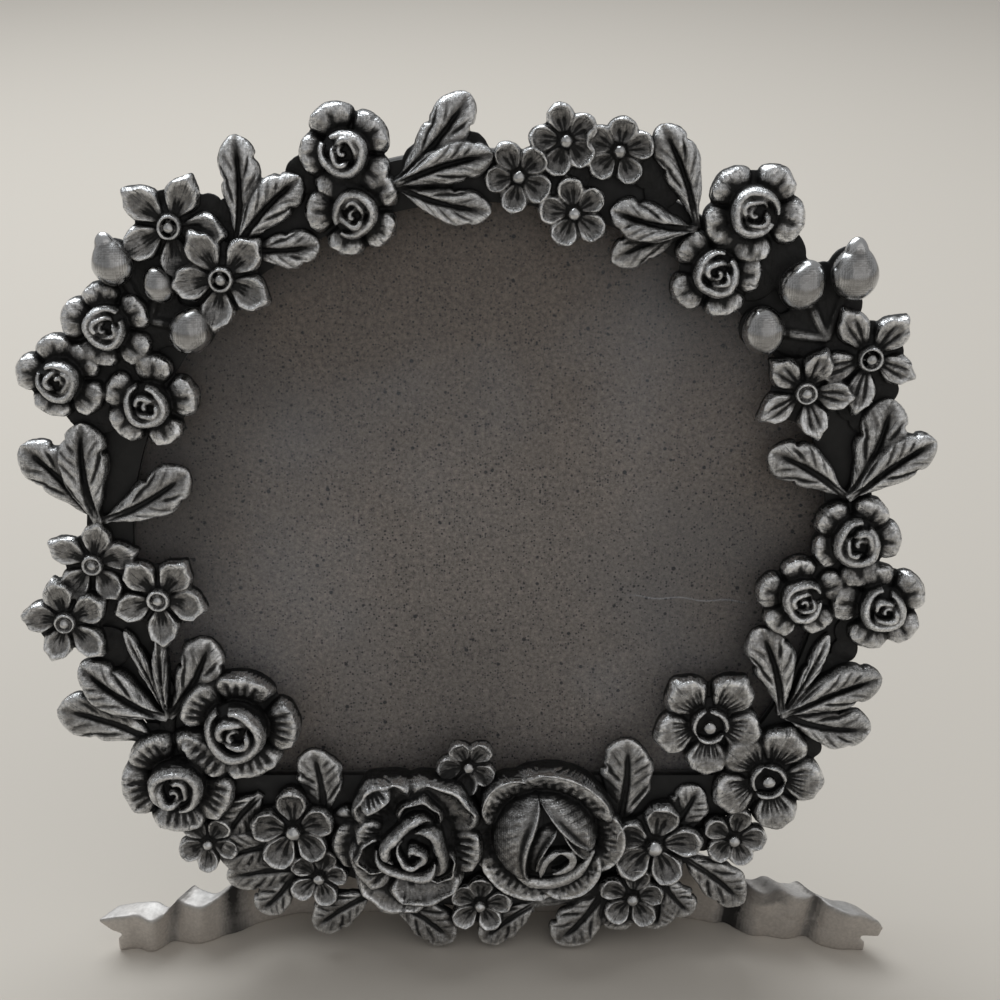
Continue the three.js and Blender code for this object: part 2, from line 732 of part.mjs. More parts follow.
// the ribbon: a strip on a wavy plan line, cut to its front outline, with a fishtail at each end
const ribbonPlan = [
  [-43, -7.9], [-40, -7.6], [-37.5, -7.2], [-35.5, -7.7], [-33, -6.4], [-30, -6.3], [-27.5, -5.4],
  [-25, -3.4], [-21, -1.8], [-15, -1.5], [0, -1.5], [15, -1.5], [21, -1.9], [25, -3.0], [29, -4.6],
  [32, -5.4], [35, -5.6], [37.5, -6.9], [41, -7.5], [45, -8.2],
];
const ribbonTop = [
  [-41.7, 4.6], [-38, 4.9], [-35, 4.8], [-33.5, 5.4], [-30, 5.0], [-26.5, 4.9], [-23, 6.2],
  [-17, 8.4], [-8, 9.4], [0, 9.6], [10, 9.4], [20, 8.7], [27, 7.7], [31, 7.2], [35, 6.5],
  [38, 5.6], [41, 5.2], [43.8, 4.2],
];
const ribbonTails = { left: { notch: -39.3, toe: -39.9 }, right: { notch: 42, toe: 42.2 } };
const ribbonHeight = Math.max(...ribbonTop.map(([, z]) => z));

function curveThrough(points, steps) {
  const corners = points.map(([x, y]) => new THREE.Vector2(drawn(x), drawn(y)));
  return new THREE.SplineCurve(corners).getPoints(steps);
}

function ribbonMesh(ringMatrix) {
  const line = curveThrough(ribbonPlan, ribbonSteps);
  const sides = [1, -1].map((side) => line.map((point, i) => {
    const ahead = line[Math.min(i + 1, line.length - 1)];
    const behind = line[Math.max(i - 1, 0)];
    const along = ahead.clone().sub(behind).normalize();
    return new THREE.Vector2(-along.y, along.x).multiplyScalar((side * ribbonThickness) / 2).add(point);
  }));
  const plan = new THREE.Shape([...sides[0], ...sides[1].reverse()]);
  const highest = drawn(ribbonHeight) + 1;
  const strip = new THREE.ExtrudeGeometry(plan, { depth: highest, bevelEnabled: false });
  const { left, right } = ribbonTails;
  const front = new THREE.Shape([
    new THREE.Vector2(drawn(left.toe), 0), new THREE.Vector2(drawn(left.notch), notchHeight),
    ...curveThrough(ribbonTop, ribbonSteps),
    new THREE.Vector2(drawn(right.notch), notchHeight), new THREE.Vector2(drawn(right.toe), 0),
  ]);
  const depth = 2 * ringRadius;
  const outline = plateGeometry(front, depth, 1).translate(0, depth / 2, 0);
  const seat = ringThickness + solderLine;
  const ringSide = box(2 * drawn(ribbonSeatHalfWidth), depth, depth, 0, seat - depth / 2, -ringRadius);
  const shaped = solid(strip.translate(0, ribbonSeatShift(), 0)).intersect(solid(outline));
  const seated = shaped.subtract(solid(ringSide.applyMatrix4(ringMatrix)));
  return mesh('ribbon_foot', seated, palePewter);
}

// moves the plan line so that the strip's top laps over the plane of the ring's back by the seat overlap
function ribbonSeatShift() {
  const seat = ringThickness + solderLine;
  const below = drawn(ribbonHeight) - ringHeight;
  const plane = (seat + below * Math.sin(rad(frameLean))) / Math.cos(rad(frameLean));
  const [, middle] = ribbonPlan.find(([x]) => x === 0);
  return plane - ribbonSeatOverlap + ribbonThickness / 2 - drawn(middle);
}

const frame = new THREE.Group();
frame.add(ringMesh());
frame.add(discMesh('glazing', glazingFront, glazingThickness, clearSheet));
frame.add(discMesh('backing_card', cardFront, cardThickness, greyCard));
frame.add(discMesh('back_panel', panelFront, panelThickness, blackPanel, Object.values(bracketRivets)));
frame.add(...wreath);
for (const [side, angle] of Object.entries(buttonAngles)) {
  frame.add(turnButtonMesh(`turn_button_${side}`, angle));
  frame.add(buttonRivetMesh(`button_rivet_${side}`, angle));
}
frame.add(bracketMesh());
frame.add(hingePinMesh());
for (const [side, { x, z }] of Object.entries(bracketRivets)) {
  const rivet = rivetGeometry(panelFront, plateBack + stackClearance, x, z);
  frame.add(mesh(`bracket_rivet_${side}`, solid(rivet), steel));
}
const easel = new THREE.Group();
easel.add(legMesh());
easel.position.set(0, hingeDepth, hingeRise);
easel.rotation.x = rad(openAngle);
frame.add(easel);
frame.position.z = ringHeight;
frame.rotation.x = -rad(frameLean);
frame.updateMatrixWorld(true);

const pictureFrame = new THREE.Group();
pictureFrame.add(frame);
pictureFrame.add(ribbonMesh(frame.matrixWorld));

// the origin is under the middle of the whole frame, on the surface it stands on
const extent = new THREE.Box3().setFromObject(pictureFrame, true);
const middle = extent.getCenter(new THREE.Vector3());
pictureFrame.position.set(-middle.x, -middle.y, -extent.min.z);

export default pictureFrame;
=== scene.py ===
import json
import math

import bpy
import numpy as np
from mathutils import Matrix, Vector


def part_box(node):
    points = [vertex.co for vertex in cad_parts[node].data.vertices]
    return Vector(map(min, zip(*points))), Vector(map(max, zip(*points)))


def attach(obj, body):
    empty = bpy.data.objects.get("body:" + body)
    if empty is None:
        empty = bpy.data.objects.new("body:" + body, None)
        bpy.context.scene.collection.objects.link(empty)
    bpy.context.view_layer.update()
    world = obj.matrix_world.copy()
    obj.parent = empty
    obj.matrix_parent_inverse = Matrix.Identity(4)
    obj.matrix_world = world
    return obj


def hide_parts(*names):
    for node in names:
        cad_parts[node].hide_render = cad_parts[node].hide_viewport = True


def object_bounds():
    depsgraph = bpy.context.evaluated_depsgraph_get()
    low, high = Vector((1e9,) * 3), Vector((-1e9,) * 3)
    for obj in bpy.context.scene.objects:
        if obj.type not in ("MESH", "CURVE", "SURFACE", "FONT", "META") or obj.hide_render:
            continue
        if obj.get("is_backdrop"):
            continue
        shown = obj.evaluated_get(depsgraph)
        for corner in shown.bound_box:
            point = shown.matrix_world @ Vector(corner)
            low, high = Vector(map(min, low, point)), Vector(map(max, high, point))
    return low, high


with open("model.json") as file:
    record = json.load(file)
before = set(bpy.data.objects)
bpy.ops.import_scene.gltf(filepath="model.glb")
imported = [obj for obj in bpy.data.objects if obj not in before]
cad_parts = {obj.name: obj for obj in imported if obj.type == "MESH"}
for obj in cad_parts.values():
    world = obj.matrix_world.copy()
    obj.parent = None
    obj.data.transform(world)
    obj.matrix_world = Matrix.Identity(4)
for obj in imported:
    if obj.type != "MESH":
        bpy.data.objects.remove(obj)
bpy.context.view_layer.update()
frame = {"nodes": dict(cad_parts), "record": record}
mm = 0.001
random = np.random.default_rng(11)

# the ring's own plane: x to the right, y up the face, z to the front, in millimetres
joints = {joint["name"]: joint for joint in frame["record"]["behaviour"]["joints"]}
ringPlace = {"faceAhead": 2.2, "wreathRadius": 37.3, "sightRadius": 35.0}
ringFront = -Vector(joints["button_top_turn"]["axis"])
ringUp = Vector((0, ringFront.z, -ringFront.y))
ringLow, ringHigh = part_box("frame_ring")
ringCentre = (ringLow + ringHigh) / 2 + ringFront * ringPlace["faceAhead"] * mm
ringMatrix = Matrix((
    (mm, ringUp.x * mm, ringFront.x * mm, ringCentre.x),
    (0, ringUp.y * mm, ringFront.y * mm, ringCentre.y),
    (0, ringUp.z * mm, ringFront.z * mm, ringCentre.z),
    (0, 0, 0, 1),
))
print("frame loaded, ring centre", [round(value / mm, 3) for value in ringCentre])


# camera: in front and above, as far off as the photo's perspective shows
cameraView = {"elevation": 29.0, "distance": 0.165, "lens": 58.8, "shift": (0.02, 0.054)}
rise = math.radians(cameraView["elevation"])
bpy.ops.object.camera_add()
camera = bpy.context.object
camera.name = "photoCamera"
camera.location = ringCentre + Vector((0, -math.cos(rise), math.sin(rise))) * cameraView["distance"]
camera.rotation_euler = (math.pi / 2 - rise, 0, 0)
camera.data.lens = cameraView["lens"]
camera.data.shift_x, camera.data.shift_y = cameraView["shift"]
camera.data.clip_start = 0.005
bpy.context.scene.camera = camera
bpy.context.scene.view_settings.view_transform = "Standard"


# modelling helpers
def deselectAll():
    bpy.ops.object.select_all(action="DESELECT")


def choose(piece):
    deselectAll()
    piece.select_set(True)
    bpy.context.view_layer.objects.active = piece


def readPoints(piece):
    flat = np.empty(len(piece.data.vertices) * 3, dtype=np.float32)
    piece.data.vertices.foreach_get("co", flat)
    return flat.reshape(-1, 3).astype(float)


def writePoints(piece, points):
    piece.data.vertices.foreach_set("co", np.asarray(points, dtype=np.float32).ravel())
    piece.data.update()


def writeValues(piece, name, values):
    layer = piece.data.attributes.get(name) or piece.data.attributes.new(name, "FLOAT", "POINT")
    layer.data.foreach_set("value", np.asarray(values, dtype=np.float32))


def applyModifier(piece, kind, **settings):
    choose(piece)
    modifier = piece.modifiers.new(kind.lower(), kind)
    for name, value in settings.items():
        setattr(modifier, name, value)
    bpy.ops.object.modifier_apply(modifier=modifier.name)


def openMesh(piece):
    choose(piece)
    bpy.ops.object.mode_set(mode="EDIT")
    bpy.ops.mesh.select_all(action="SELECT")


def closeMesh():
    bpy.ops.object.mode_set(mode="OBJECT")


def setInPlace(piece, matrix):
    piece.data.transform(matrix)
    piece.data.update()
    return piece


def smoothStep(value):
    held = np.clip(value, 0, 1)
    return held * held * (3 - 2 * held)


def ridge(value, width):
    return np.exp(-(value / width) ** 2)


workshop = {}    # the forms that the wreath is put together from


def reliefSheet(name, columns, rows, shape):    # a grid shaped on top, then drawn down to the ring's face
    deselectAll()
    bpy.ops.mesh.primitive_grid_add(x_subdivisions=columns, y_subdivisions=rows, size=2)
    sheet = bpy.context.object
    sheet.name = name
    flat = readPoints(sheet)
    x, y, z, ink, lane, reach = shape(flat[:, 0], flat[:, 1])
    writePoints(sheet, np.column_stack([x, y, z]))
    writeValues(sheet, "ink", np.clip(ink, 0, 1))
    writeValues(sheet, "lane", lane)    # across and along the strokes that the modeller's tool left
    writeValues(sheet, "reach", reach)
    openMesh(sheet)
    bpy.ops.mesh.extrude_region_move(TRANSFORM_OT_translate={"value": (0, 0, -1)})
    bpy.ops.transform.resize(value=(1, 1, 0), center_override=(0, 0, 0))
    bpy.ops.mesh.select_all(action="SELECT")
    bpy.ops.mesh.normals_make_consistent(inside=False)
    closeMesh()
    workshop[name] = sheet


def discMap(s, t):    # a square grid drawn into a round one, with the share of the way to its rim
    return s * np.sqrt(1 - t * t / 2), t * np.sqrt(1 - s * s / 2), np.maximum(np.abs(s), np.abs(t))


# petals: sizes are shares of the flower's radius, from its centre outwards along y
petalForms = {
    "roseGuard": {"root": 0.3, "wide": 0.47, "base": 0.7, "point": 0.02, "low": 0.25, "high": 0.38,
                  "dome": 0.08, "rim": 0.03, "roll": 0.22, "edge": 6, "strokes": (0.05,), "end": 0.85,
                  "depth": 0.035, "line": 0.12, "hatch": 0.4},
    "ribGuard": {"root": 0.34, "wide": 0.52, "base": 0.68, "point": 0.02, "low": 0.2, "high": 0.4,
                 "dome": 0.08, "rim": 0.03, "roll": 0.18, "edge": 6, "strokes": (-0.6, -0.25, 0.1, 0.45),
                 "end": 0.85, "depth": 0.05},
    "blossomRound": {"root": 0.12, "wide": 0.41, "base": 0.42, "point": 0.02, "low": 0.24, "high": 0.46,
                     "dome": -0.12, "rim": 0.06, "roll": 0.16, "edge": 10, "strokes": (-0.32, 0.28),
                     "end": 0.7, "depth": 0.05},
    "blossomPointed": {"root": 0.12, "wide": 0.38, "base": 0.4, "point": 0.1, "low": 0.24, "high": 0.42,
                       "dome": -0.06, "rim": 0.05, "roll": 0.16, "edge": 7, "strokes": (-0.36, -0.05, 0.3),
                       "end": 0.62, "depth": 0.06, "line": 0.07},
    "blossomSmooth": {"root": 0.12, "wide": 0.35, "base": 0.42, "point": 0.13, "low": 0.22, "high": 0.42,
                      "dome": 0.03, "rim": 0.05, "roll": 0.17, "edge": 6, "strokes": (-0.3, 0.3),
                      "end": 0.86, "depth": 0.06, "hatch": 0.5},
    "anemone": {"root": 0.2, "wide": 0.45, "base": 0.46, "point": 0.06, "low": 0.2, "high": 0.36,
                "dome": 0.06, "rim": 0.02, "roll": 0.14, "edge": 6,
                "strokes": (-0.68, -0.38, -0.08, 0.2, 0.5, 0.76), "end": 0.66, "depth": 0.07,
                "line": 0.055},
    "openGuard": {"root": 0.34, "wide": 0.52, "base": 0.8, "point": 0.07, "low": 0.3, "high": 0.52,
                  "dome": 0.0, "rim": 0.08, "roll": 0.15, "edge": 10,
                  "strokes": (-0.66, -0.3, 0.1, 0.5), "end": 0.6, "depth": 0.04, "line": 0.06},
    "budGuard": {"root": 0.6, "wide": 0.6, "base": 0.8, "point": 0.0, "low": 0.24, "high": 0.36, "bow": 0.24,
                 "dome": 0.07, "rim": 0.05, "roll": 0.18, "edge": 8,
                 "strokes": (-0.8, -0.56, -0.38, -0.1, 0.08, 0.35, 0.52, 0.78), "end": 0.75, "depth": 0.03,
                 "line": 0.035},
    "openInner": {"root": 0.22, "wide": 0.46, "base": 0.8, "point": 0.12, "low": 0.4, "high": 0.62,
                  "dome": -0.14, "rim": 0.1, "roll": 0.16, "edge": 10, "strokes": (-0.4, 0.1, 0.5),
                  "end": 0.7, "depth": 0.04},
}


def petalShape(form):
    def shape(s, t):
        across, along, rim = discMap(s, t)
        share = (along + 1) / 2
        x = across * form["wide"] * (form["base"] + (1 - form["base"]) * smoothStep(share / 0.6))
        tip = form["point"] * ridge(across, 0.3) * smoothStep((share - 0.6) / 0.4)
        y = form["root"] + (1 - form["root"]) * share + tip - form.get("bow", 0) * across ** 2
        z = form["low"] + (form["high"] - form["low"]) * share
        z = z + form["dome"] * (1 - rim ** 2) * smoothStep(share * 2.2)
        z = z + form["rim"] * ridge(rim - 0.8, 0.13) * smoothStep(share * 2)
        z = z - form["roll"] * rim ** form["edge"]
        ink = 0.3 * (1 - smoothStep(share / 0.3))
        spread = 0.45 + 0.55 * share    # the strokes draw together at the root
        reach = smoothStep((form["end"] - share) / 0.25)
        for lane in form["strokes"]:
            stroke = ridge(across - lane * spread, form.get("line", 0.085)) * reach
            z = z - form["depth"] * stroke
            ink = ink + 0.9 * stroke
        return x, y, z, ink, form.get("hatch", 1.0) * across / spread, share
    return shape


# wraps and coils of a rose's heart: a wall with a rounded lip along an arc that drifts inwards
wrapForms = {
    "heartCup": {"radius": (0.44, 0.36), "sweep": 335, "wall": 0.1, "height": (0.68, 0.76), "taper": 0.6,
                 "wave": 0.018, "hood": 0.08},
    "heartWrap": {"radius": (0.28, 0.2), "sweep": 200, "wall": 0.085, "height": (0.72, 0.8), "taper": 0.4,
                  "wave": 0.02, "hood": 0.06},
    "heartCoil": {"radius": (0.12, 0.04), "sweep": 260, "wall": 0.06, "height": (0.74, 0.82), "taper": 0.6,
                  "wave": 0.0, "hood": 0.0},
    "openWrap": {"radius": (0.47, 0.33), "sweep": 150, "wall": 0.085, "height": (0.66, 0.8), "taper": 0.35,
                 "wave": 0.045, "hood": 0.05},
    "openHook": {"radius": (0.25, 0.07), "sweep": 400, "wall": 0.06, "height": (0.76, 0.88), "taper": 0.5,
                 "wave": 0.02, "hood": 0.0},
    "collarArc": {"radius": (0.3, 0.28), "sweep": 110, "wall": 0.055, "height": (0.42, 0.42), "taper": 0.5,
                  "wave": 0.0, "hood": 0.0},
    "pistilRing": {"radius": (0.21, 0.21), "sweep": 360, "wall": 0.05, "height": (0.46, 0.46), "taper": 1.0,
                   "wave": 0.0, "hood": 0.0},
}


def wrapShape(form):
    def shape(s, t):
        share = (t + 1) / 2
        angle = np.radians(form["sweep"]) * share
        ends = form["taper"] + (1 - form["taper"]) * smoothStep(np.minimum(share, 1 - share) * 5)
        middle = form["radius"][0] + (form["radius"][1] - form["radius"][0]) * share
        middle = middle + form["wave"] * np.sin(angle * 3.4 + 0.6)
        reach = middle + s * form["wall"] * ends
        height = form["height"][0] + (form["height"][1] - form["height"][0]) * share
        hood = form["hood"] * np.sin(np.pi * share)
        z = height * (0.8 + 0.2 * ends) + hood - 0.11 * np.abs(s) ** 3 - 0.05 * np.maximum(s, 0) ** 2
        lane = angle * middle * 5 + 0.3 * s
        return reach * np.cos(angle), reach * np.sin(angle), z, np.zeros_like(s), lane, s
    return shape


def discShape(radius, height, edge):
    def shape(s, t):
        x, y, rim = discMap(s, t)
        z = height + (edge - height) * rim ** 2
        return x * radius, y * radius, z, np.ones_like(s) * 0.9, x * 3, y
    return shape


# leaves: x in half widths, y in lengths, z in millimetres
leafForms = {
    "leafVeined": {"edge": 0.7, "middle": 1.75, "veins": 5.2, "lean": 1.9, "veinDepth": 0.26, "gutter": 0.5,
                   "ruffle": 0.05, "swell": 1.3, "blunt": 0.58, "bow": 0.22, "tilt": 0.3, "seed": 0.0,
                   "notches": ((0.8, 1), (0.6, -1))},
    "leafSplit": {"edge": 0.7, "middle": 1.75, "veins": 5.8, "lean": 2.1, "veinDepth": 0.22, "gutter": 0.5,
                  "ruffle": 0.04, "swell": 1.2, "blunt": 0.62, "bow": -0.2, "tilt": -0.28, "seed": 2.1,
                  "notches": ((0.7, 1), (0.86, -1))},
    "leafBroad": {"edge": 0.75, "middle": 1.4, "veins": 6.0, "lean": 1.8, "veinDepth": 0.26, "gutter": 0.42,
                  "ruffle": 0.05, "swell": 0.95, "blunt": 0.58, "bow": 0.14, "tilt": 0.18, "seed": 4.4,
                  "notches": ((0.66, -1),)},
    "leafTurned": {"edge": 0.75, "middle": 1.4, "veins": 5.6, "lean": 1.7, "veinDepth": 0.26, "gutter": 0.42,
                   "ruffle": 0.045, "swell": 1.0, "blunt": 0.56, "bow": -0.16, "tilt": -0.16, "seed": 1.3,
                   "notches": ((0.74, 1),)},
}


def leafShape(form):
    widest = form["swell"] / (form["swell"] + form["blunt"])
    fullest = widest ** form["swell"] * (1 - widest) ** form["blunt"]

    def shape(s, t):
        share, side = (t + 1) / 2, np.sign(s)
        half = share ** form["swell"] * (1 - share) ** form["blunt"] / fullest
        half = np.maximum(half, 0.2 * (1 - share) ** 0.4)    # the stalk
        edge = form["ruffle"] * np.sin(share * 20 + 1.7 * side + form["seed"])
        for place, flank in form["notches"]:
            edge = edge - 0.16 * ridge(share - place, 0.025) * (side == flank)
        across = s * half
        crown = np.sin(np.pi * np.clip(share, 0.02, 0.98)) ** 0.4
        bulge = 1 - (2 * np.abs(s) - 0.95) ** 2
        z = form["edge"] + (form["middle"] - form["edge"]) * crown * (0.45 + 0.55 * bulge)
        z = z + crown * (form["tilt"] * s + 0.15 * ridge(np.abs(s) - 0.86, 0.09)) - 0.35 * np.abs(s) ** 12
        along = smoothStep(share * 7) * smoothStep((0.9 - share) * 6)
        gutter = ridge(np.abs(across) - 0.1 * (1 - share), 0.05) * along
        spine = ridge(across, 0.045) * along * (1 - share)
        phase = share * form["veins"] - np.abs(across) * form["lean"] + 0.35 * side
        phase = phase + 0.25 * np.sin(share * 9 + 2 * side + form["seed"])
        count = np.floor(phase)
        strength = 0.8 + 0.3 * np.sin(count * 2.4 + side + form["seed"])    # no two veins alike
        vein = strength * ridge(phase - count - 0.5, 0.14) * smoothStep((np.abs(across) - 0.18) * 5)
        vein = vein * smoothStep((0.96 - np.abs(s)) * 6) * along
        z = z + 0.12 * spine - form["gutter"] * gutter - form["veinDepth"] * vein
        x = across * (1 + edge * s ** 2) + form["bow"] * np.sin(np.pi * share)
        ink = 0.75 * gutter + vein + 0.22 * ridge(across, 0.2) * along + 0.3 * (1 - smoothStep(share * 3))
        return x, share, z, ink, phase * 2.4, np.abs(across)
    return shape


# stems between flowers and to buds: unit length along y, half width 1
def stemShape(s, t):
    share = (t + 1) / 2
    return s * (0.75 + 0.5 * share ** 2), share, 0.85 - 0.35 * s ** 2, np.ones_like(s) * 0.3, s * 2, share


# the closed rosebud: petals laid over a dome, each between its outer arc and its free inner edge
budDome = {"radius": 0.68, "lift": 0.22, "rise": 0.46, "core": 0.78, "swell": 0.05}


def domeHeight(x, y):
    inside = np.clip(1 - (x ** 2 + y ** 2) / budDome["radius"] ** 2, 0, 1)
    return budDome["lift"] + budDome["rise"] * np.sqrt(inside)


def curveThrough(corners, share):    # a smooth curve that leaves the first corner and ends at the last
    a, b, c, d = (np.array(corner)[:, None] for corner in corners)
    rest = 1 - share
    return rest ** 3 * a + 3 * rest ** 2 * share * b + 3 * rest * share ** 2 * c + share ** 3 * d


def budPetalShape(firstAngle, lastAngle, innerEdge, lip):
    def shape(s, t):
        share, inward = (t + 1) / 2, (s + 1) / 2
        angle = np.radians(firstAngle + (lastAngle - firstAngle) * share)
        inner = curveThrough(innerEdge, share) * budDome["radius"]
        x = np.cos(angle) * budDome["radius"] * (1 - inward) + inner[0] * inward
        y = np.sin(angle) * budDome["radius"] * (1 - inward) + inner[1] * inward
        z = domeHeight(x, y) + budDome["swell"] * np.sin(np.pi * inward) ** 2
        crease = ridge(inward - 0.78, 0.045) * smoothStep((share - 0.25) * 5)    # behind the rolled edge
        z = z + lip * ridge(inward - 0.92, 0.1) - 0.1 * inward ** 20 - 0.03 * crease
        ends = smoothStep(np.minimum(share, 1 - share) * 14)
        lane = share * 9 + inward * 2.2
        groove = ridge(lane - np.floor(lane) - 0.5, 0.15) * smoothStep((0.7 - inward) * 5) * ends
        ink = 0.3 * groove + 0.45 * crease * ends
        return x, y, z * (0.9 + 0.1 * ends) - 0.015 * groove, ink, lane * 1.4, inward
    return shape


def budFoldShape(corners, half, lip):    # a rolled edge that lies on the dome along a curve
    def shape(s, t):
        share = (t + 1) / 2
        line = curveThrough(corners, share) * budDome["radius"]
        ahead = curveThrough(corners, share + 0.01) * budDome["radius"] - line
        along = ahead / np.hypot(*ahead)
        ends = 0.35 + 0.65 * smoothStep(np.minimum(share, 1 - share) * 4)
        x, y = line[0] - along[1] * s * half * ends, line[1] + along[0] * s * half * ends
        z = domeHeight(line[0], line[1]) + lip * ends * (1 - 0.8 * s ** 2)
        return x, y, z, np.zeros_like(s), share * 8, s
    return shape


def budCoreShape(s, t):
    x, y, rim = discMap(s, t)
    x, y = x * budDome["radius"] * 0.97, y * budDome["radius"] * 0.97
    return x, y, domeHeight(x, y) * budDome["core"] - 0.05, np.ones_like(s) * 0.25, x * 9, y


fineness = 1.0
# discs as (cells, radius, height, height of the edge)
discForms = {"heartFloor": (16, 0.46, 0.58, 0.34), "flowerFloor": (16, 0.42, 0.2, 0.12),
             "ground": (20, 1.0, 0.6, 0.4)}
for name, form in petalForms.items():
    reliefSheet(name, int(26 * fineness), int(26 * fineness), petalShape(form))
for name, form in wrapForms.items():
    reliefSheet(name, 8, int(form["sweep"] / 3), wrapShape(form))
for name, form in leafForms.items():
    reliefSheet(name, int(46 * fineness), int(70 * fineness), leafShape(form))
for name, (cells, radius, height, edge) in discForms.items():
    reliefSheet(name, cells, cells, discShape(radius, height, edge))
reliefSheet("stem", 6, 8, stemShape)
leftEdge = ((-0.15, 0.96), (0.1, 0.5), (-0.52, 0.1), (-0.3, -0.76))
rightEdge = ((-0.12, 0.93), (0.12, 0.5), (0.42, 0.12), (0.92, -0.16))
reliefSheet("budLeft", 30, 50, budPetalShape(100, 238, leftEdge, 0.1))
reliefSheet("budRight", 30, 46, budPetalShape(97, -10, rightEdge, 0.1))
budFolds = {
    "budCurlLeft": (((-0.08, -0.66), (-0.06, -0.34), (0.02, -0.08), (0.3, -0.07)), 0.042, 0.03),
    "budCurlRight": (((0.28, -0.07), (0.58, -0.08), (0.68, -0.5), (0.14, -0.56)), 0.046, 0.02),
    "budLip": (((-0.52, -0.74), (-0.14, -1.06), (0.5, -1.02), (0.94, -0.26)), 0.08, 0.06),
}
for name, (corners, half, lip) in budFolds.items():
    reliefSheet(name, 10, 40, budFoldShape(corners, half, lip))
reliefSheet("budCore", 24, 24, budCoreShape)
print("petals, wraps and leaves shaped:", len(workshop))


# buds and pistils start from spheres
def roundTemplate(name, stretch, segments):
    deselectAll()
    bpy.ops.mesh.primitive_uv_sphere_add(segments=segments, ring_count=segments // 2, radius=1)
    ball = bpy.context.object
    ball.name = name
    points = readPoints(ball)
    pull = 1 - 0.14 * smoothStep((points[:, 1] + 0.2) / 1.2)
    points = points * np.column_stack([pull, np.full(len(pull), stretch), 0.9 * pull])
    writePoints(ball, points)
    for layer, values in (("ink", 0), ("lane", 0), ("reach", 0), ("satin", 1)):
        writeValues(ball, layer, np.full(len(points), values))
    workshop[name] = ball


roundTemplate("budEgg", 1.14, 96)
roundTemplate("pistilBall", 1.0, 28)


def copyOf(name, matrix):
    source = workshop[name]
    copy = source.copy()
    copy.data = source.data.copy()
    lanes = np.empty(len(copy.data.vertices), dtype=np.float32)
    copy.data.attributes["lane"].data.foreach_get("value", lanes)
    writeValues(copy, "lane", lanes + random.uniform(0, 60))    # so that no two copies share their strokes
    bpy.context.collection.objects.link(copy)
    copy.matrix_world = matrix
    return copy


def turned(degrees):
    return Matrix.Rotation(math.radians(degrees), 4, "Z")


def scaled(x, y, z):
    return Matrix.Diagonal((x, y, z, 1))


def pointing(place, direction):    # a copy's y axis turned that way on the ring's face
    return Matrix.Translation(place) @ turned(direction - 90)


def onWreath(angle, offset):
    reach = ringPlace["wreathRadius"] + offset
    return Vector((reach * math.cos(math.radians(angle)), reach * math.sin(math.radians(angle)), 0))


def around(place, size, turn, name, count, start=0.0, swell=1.0, jitter=0.05):
    copies = []
    for k in range(count):
        wobble = random.uniform(-jitter, jitter, 3)
        matrix = pointing(place, turn + start + k * 360 / count + wobble[0] * 70)
        scale = size * swell
        copies.append(copyOf(name, matrix @ scaled(scale * (1 + wobble[1]), scale * (1 + wobble[2]), size)))
    return copies


# a rose's heart: its wraps as (turn, swell), and how far off centre they and the coil stand
heartForm = {"wraps": ((0, 0.95), (170, 0.83)), "wrapAside": 0.05, "coilAside": 0.03}


def heart(place, size, turn):
    parts = around(place, size, turn, "heartFloor", 1)
    parts += around(place, size, turn, "heartCup", 1, random.uniform(0, 360))
    first = random.uniform(0, 360)
    for k, (wrapTurn, swell) in enumerate(heartForm["wraps"]):
        aside = turned(first + 180 * k) @ Vector((0, heartForm["wrapAside"], 0)) * size
        parts += around(place + aside, size, turn, "heartWrap", 1, first + wrapTurn, swell)
    aside = turned(first + 90) @ Vector((heartForm["coilAside"], 0, 0)) * size
    return parts + around(place + aside, size, turn, "heartCoil", 1, random.uniform(0, 360))


def pistil(place, size, radius, height):
    middle = Matrix.Translation(place + Vector((0, 0, height * size)))
    return [copyOf("pistilBall", middle @ scaled(radius * size, radius * size, radius * size))]


def ground(place, radius, height=1.0):
    return [copyOf("ground", Matrix.Translation(place) @ scaled(radius, radius, height))]


def rose(place, size, turn, guard="roseGuard"):
    petals = around(place, size, turn, guard, 5, jitter=0.09)
    return petals + heart(place, size, turn) + ground(place, size * 0.8)


def ribRose(place, size, turn):
    return rose(place, size, turn, "ribGuard")


def blossom(place, size, turn, petal="blossomRound", pistilSize=0.18):
    parts = around(place, size, turn, "flowerFloor", 1) + ground(place, size * 0.72)
    parts += around(place, size, turn, petal, 5, jitter=0.08)
    return parts + pistil(place, size, pistilSize, 0.4)


def starBlossom(place, size, turn):
    return blossom(place, size, turn, "blossomPointed", 0.12) + around(place, size, turn, "pistilRing", 1)


def ringBlossom(place, size, turn):
    return blossom(place, size, turn, "blossomSmooth", 0.12) + around(place, size, turn, "pistilRing", 1)


def anemone(place, size, turn):
    parts = around(place, size, turn, "flowerFloor", 1, 0, 1.2) + ground(place, size * 0.75)
    parts += around(place, size, turn, "anemone", 5, jitter=0.07)
    parts += around(place, size, turn, "collarArc", 3, 15)
    return parts + pistil(place, size, 0.12, 0.36)


def setPetal(name, place, size, direction, reach, width, height):
    spread = scaled(size * reach * width, size * reach, size * height)
    return copyOf(name, pointing(place, direction) @ spread)


# the open rose's outer petals as (form, direction, reach, width, height)
openRosePetals = (("openGuard", 124, 1.08, 0.9, 1.0), ("openGuard", 54, 1.02, 1.15, 0.95),
                  ("ribGuard", 350, 0.98, 0.8, 1.15), ("openGuard", 283, 0.95, 1.15, 0.9),
                  ("ribGuard", 208, 0.96, 0.95, 1.25), ("ribGuard", 163, 0.86, 0.6, 1.3),
                  ("openGuard", 250, 1.2, 0.95, 0.6), ("ribGuard", 188, 1.18, 0.7, 0.7))
openRoseTip = {"direction": 124, "rim": 1.25, "wide": 0.55, "long": 0.45, "height": 1.8}    # folded back


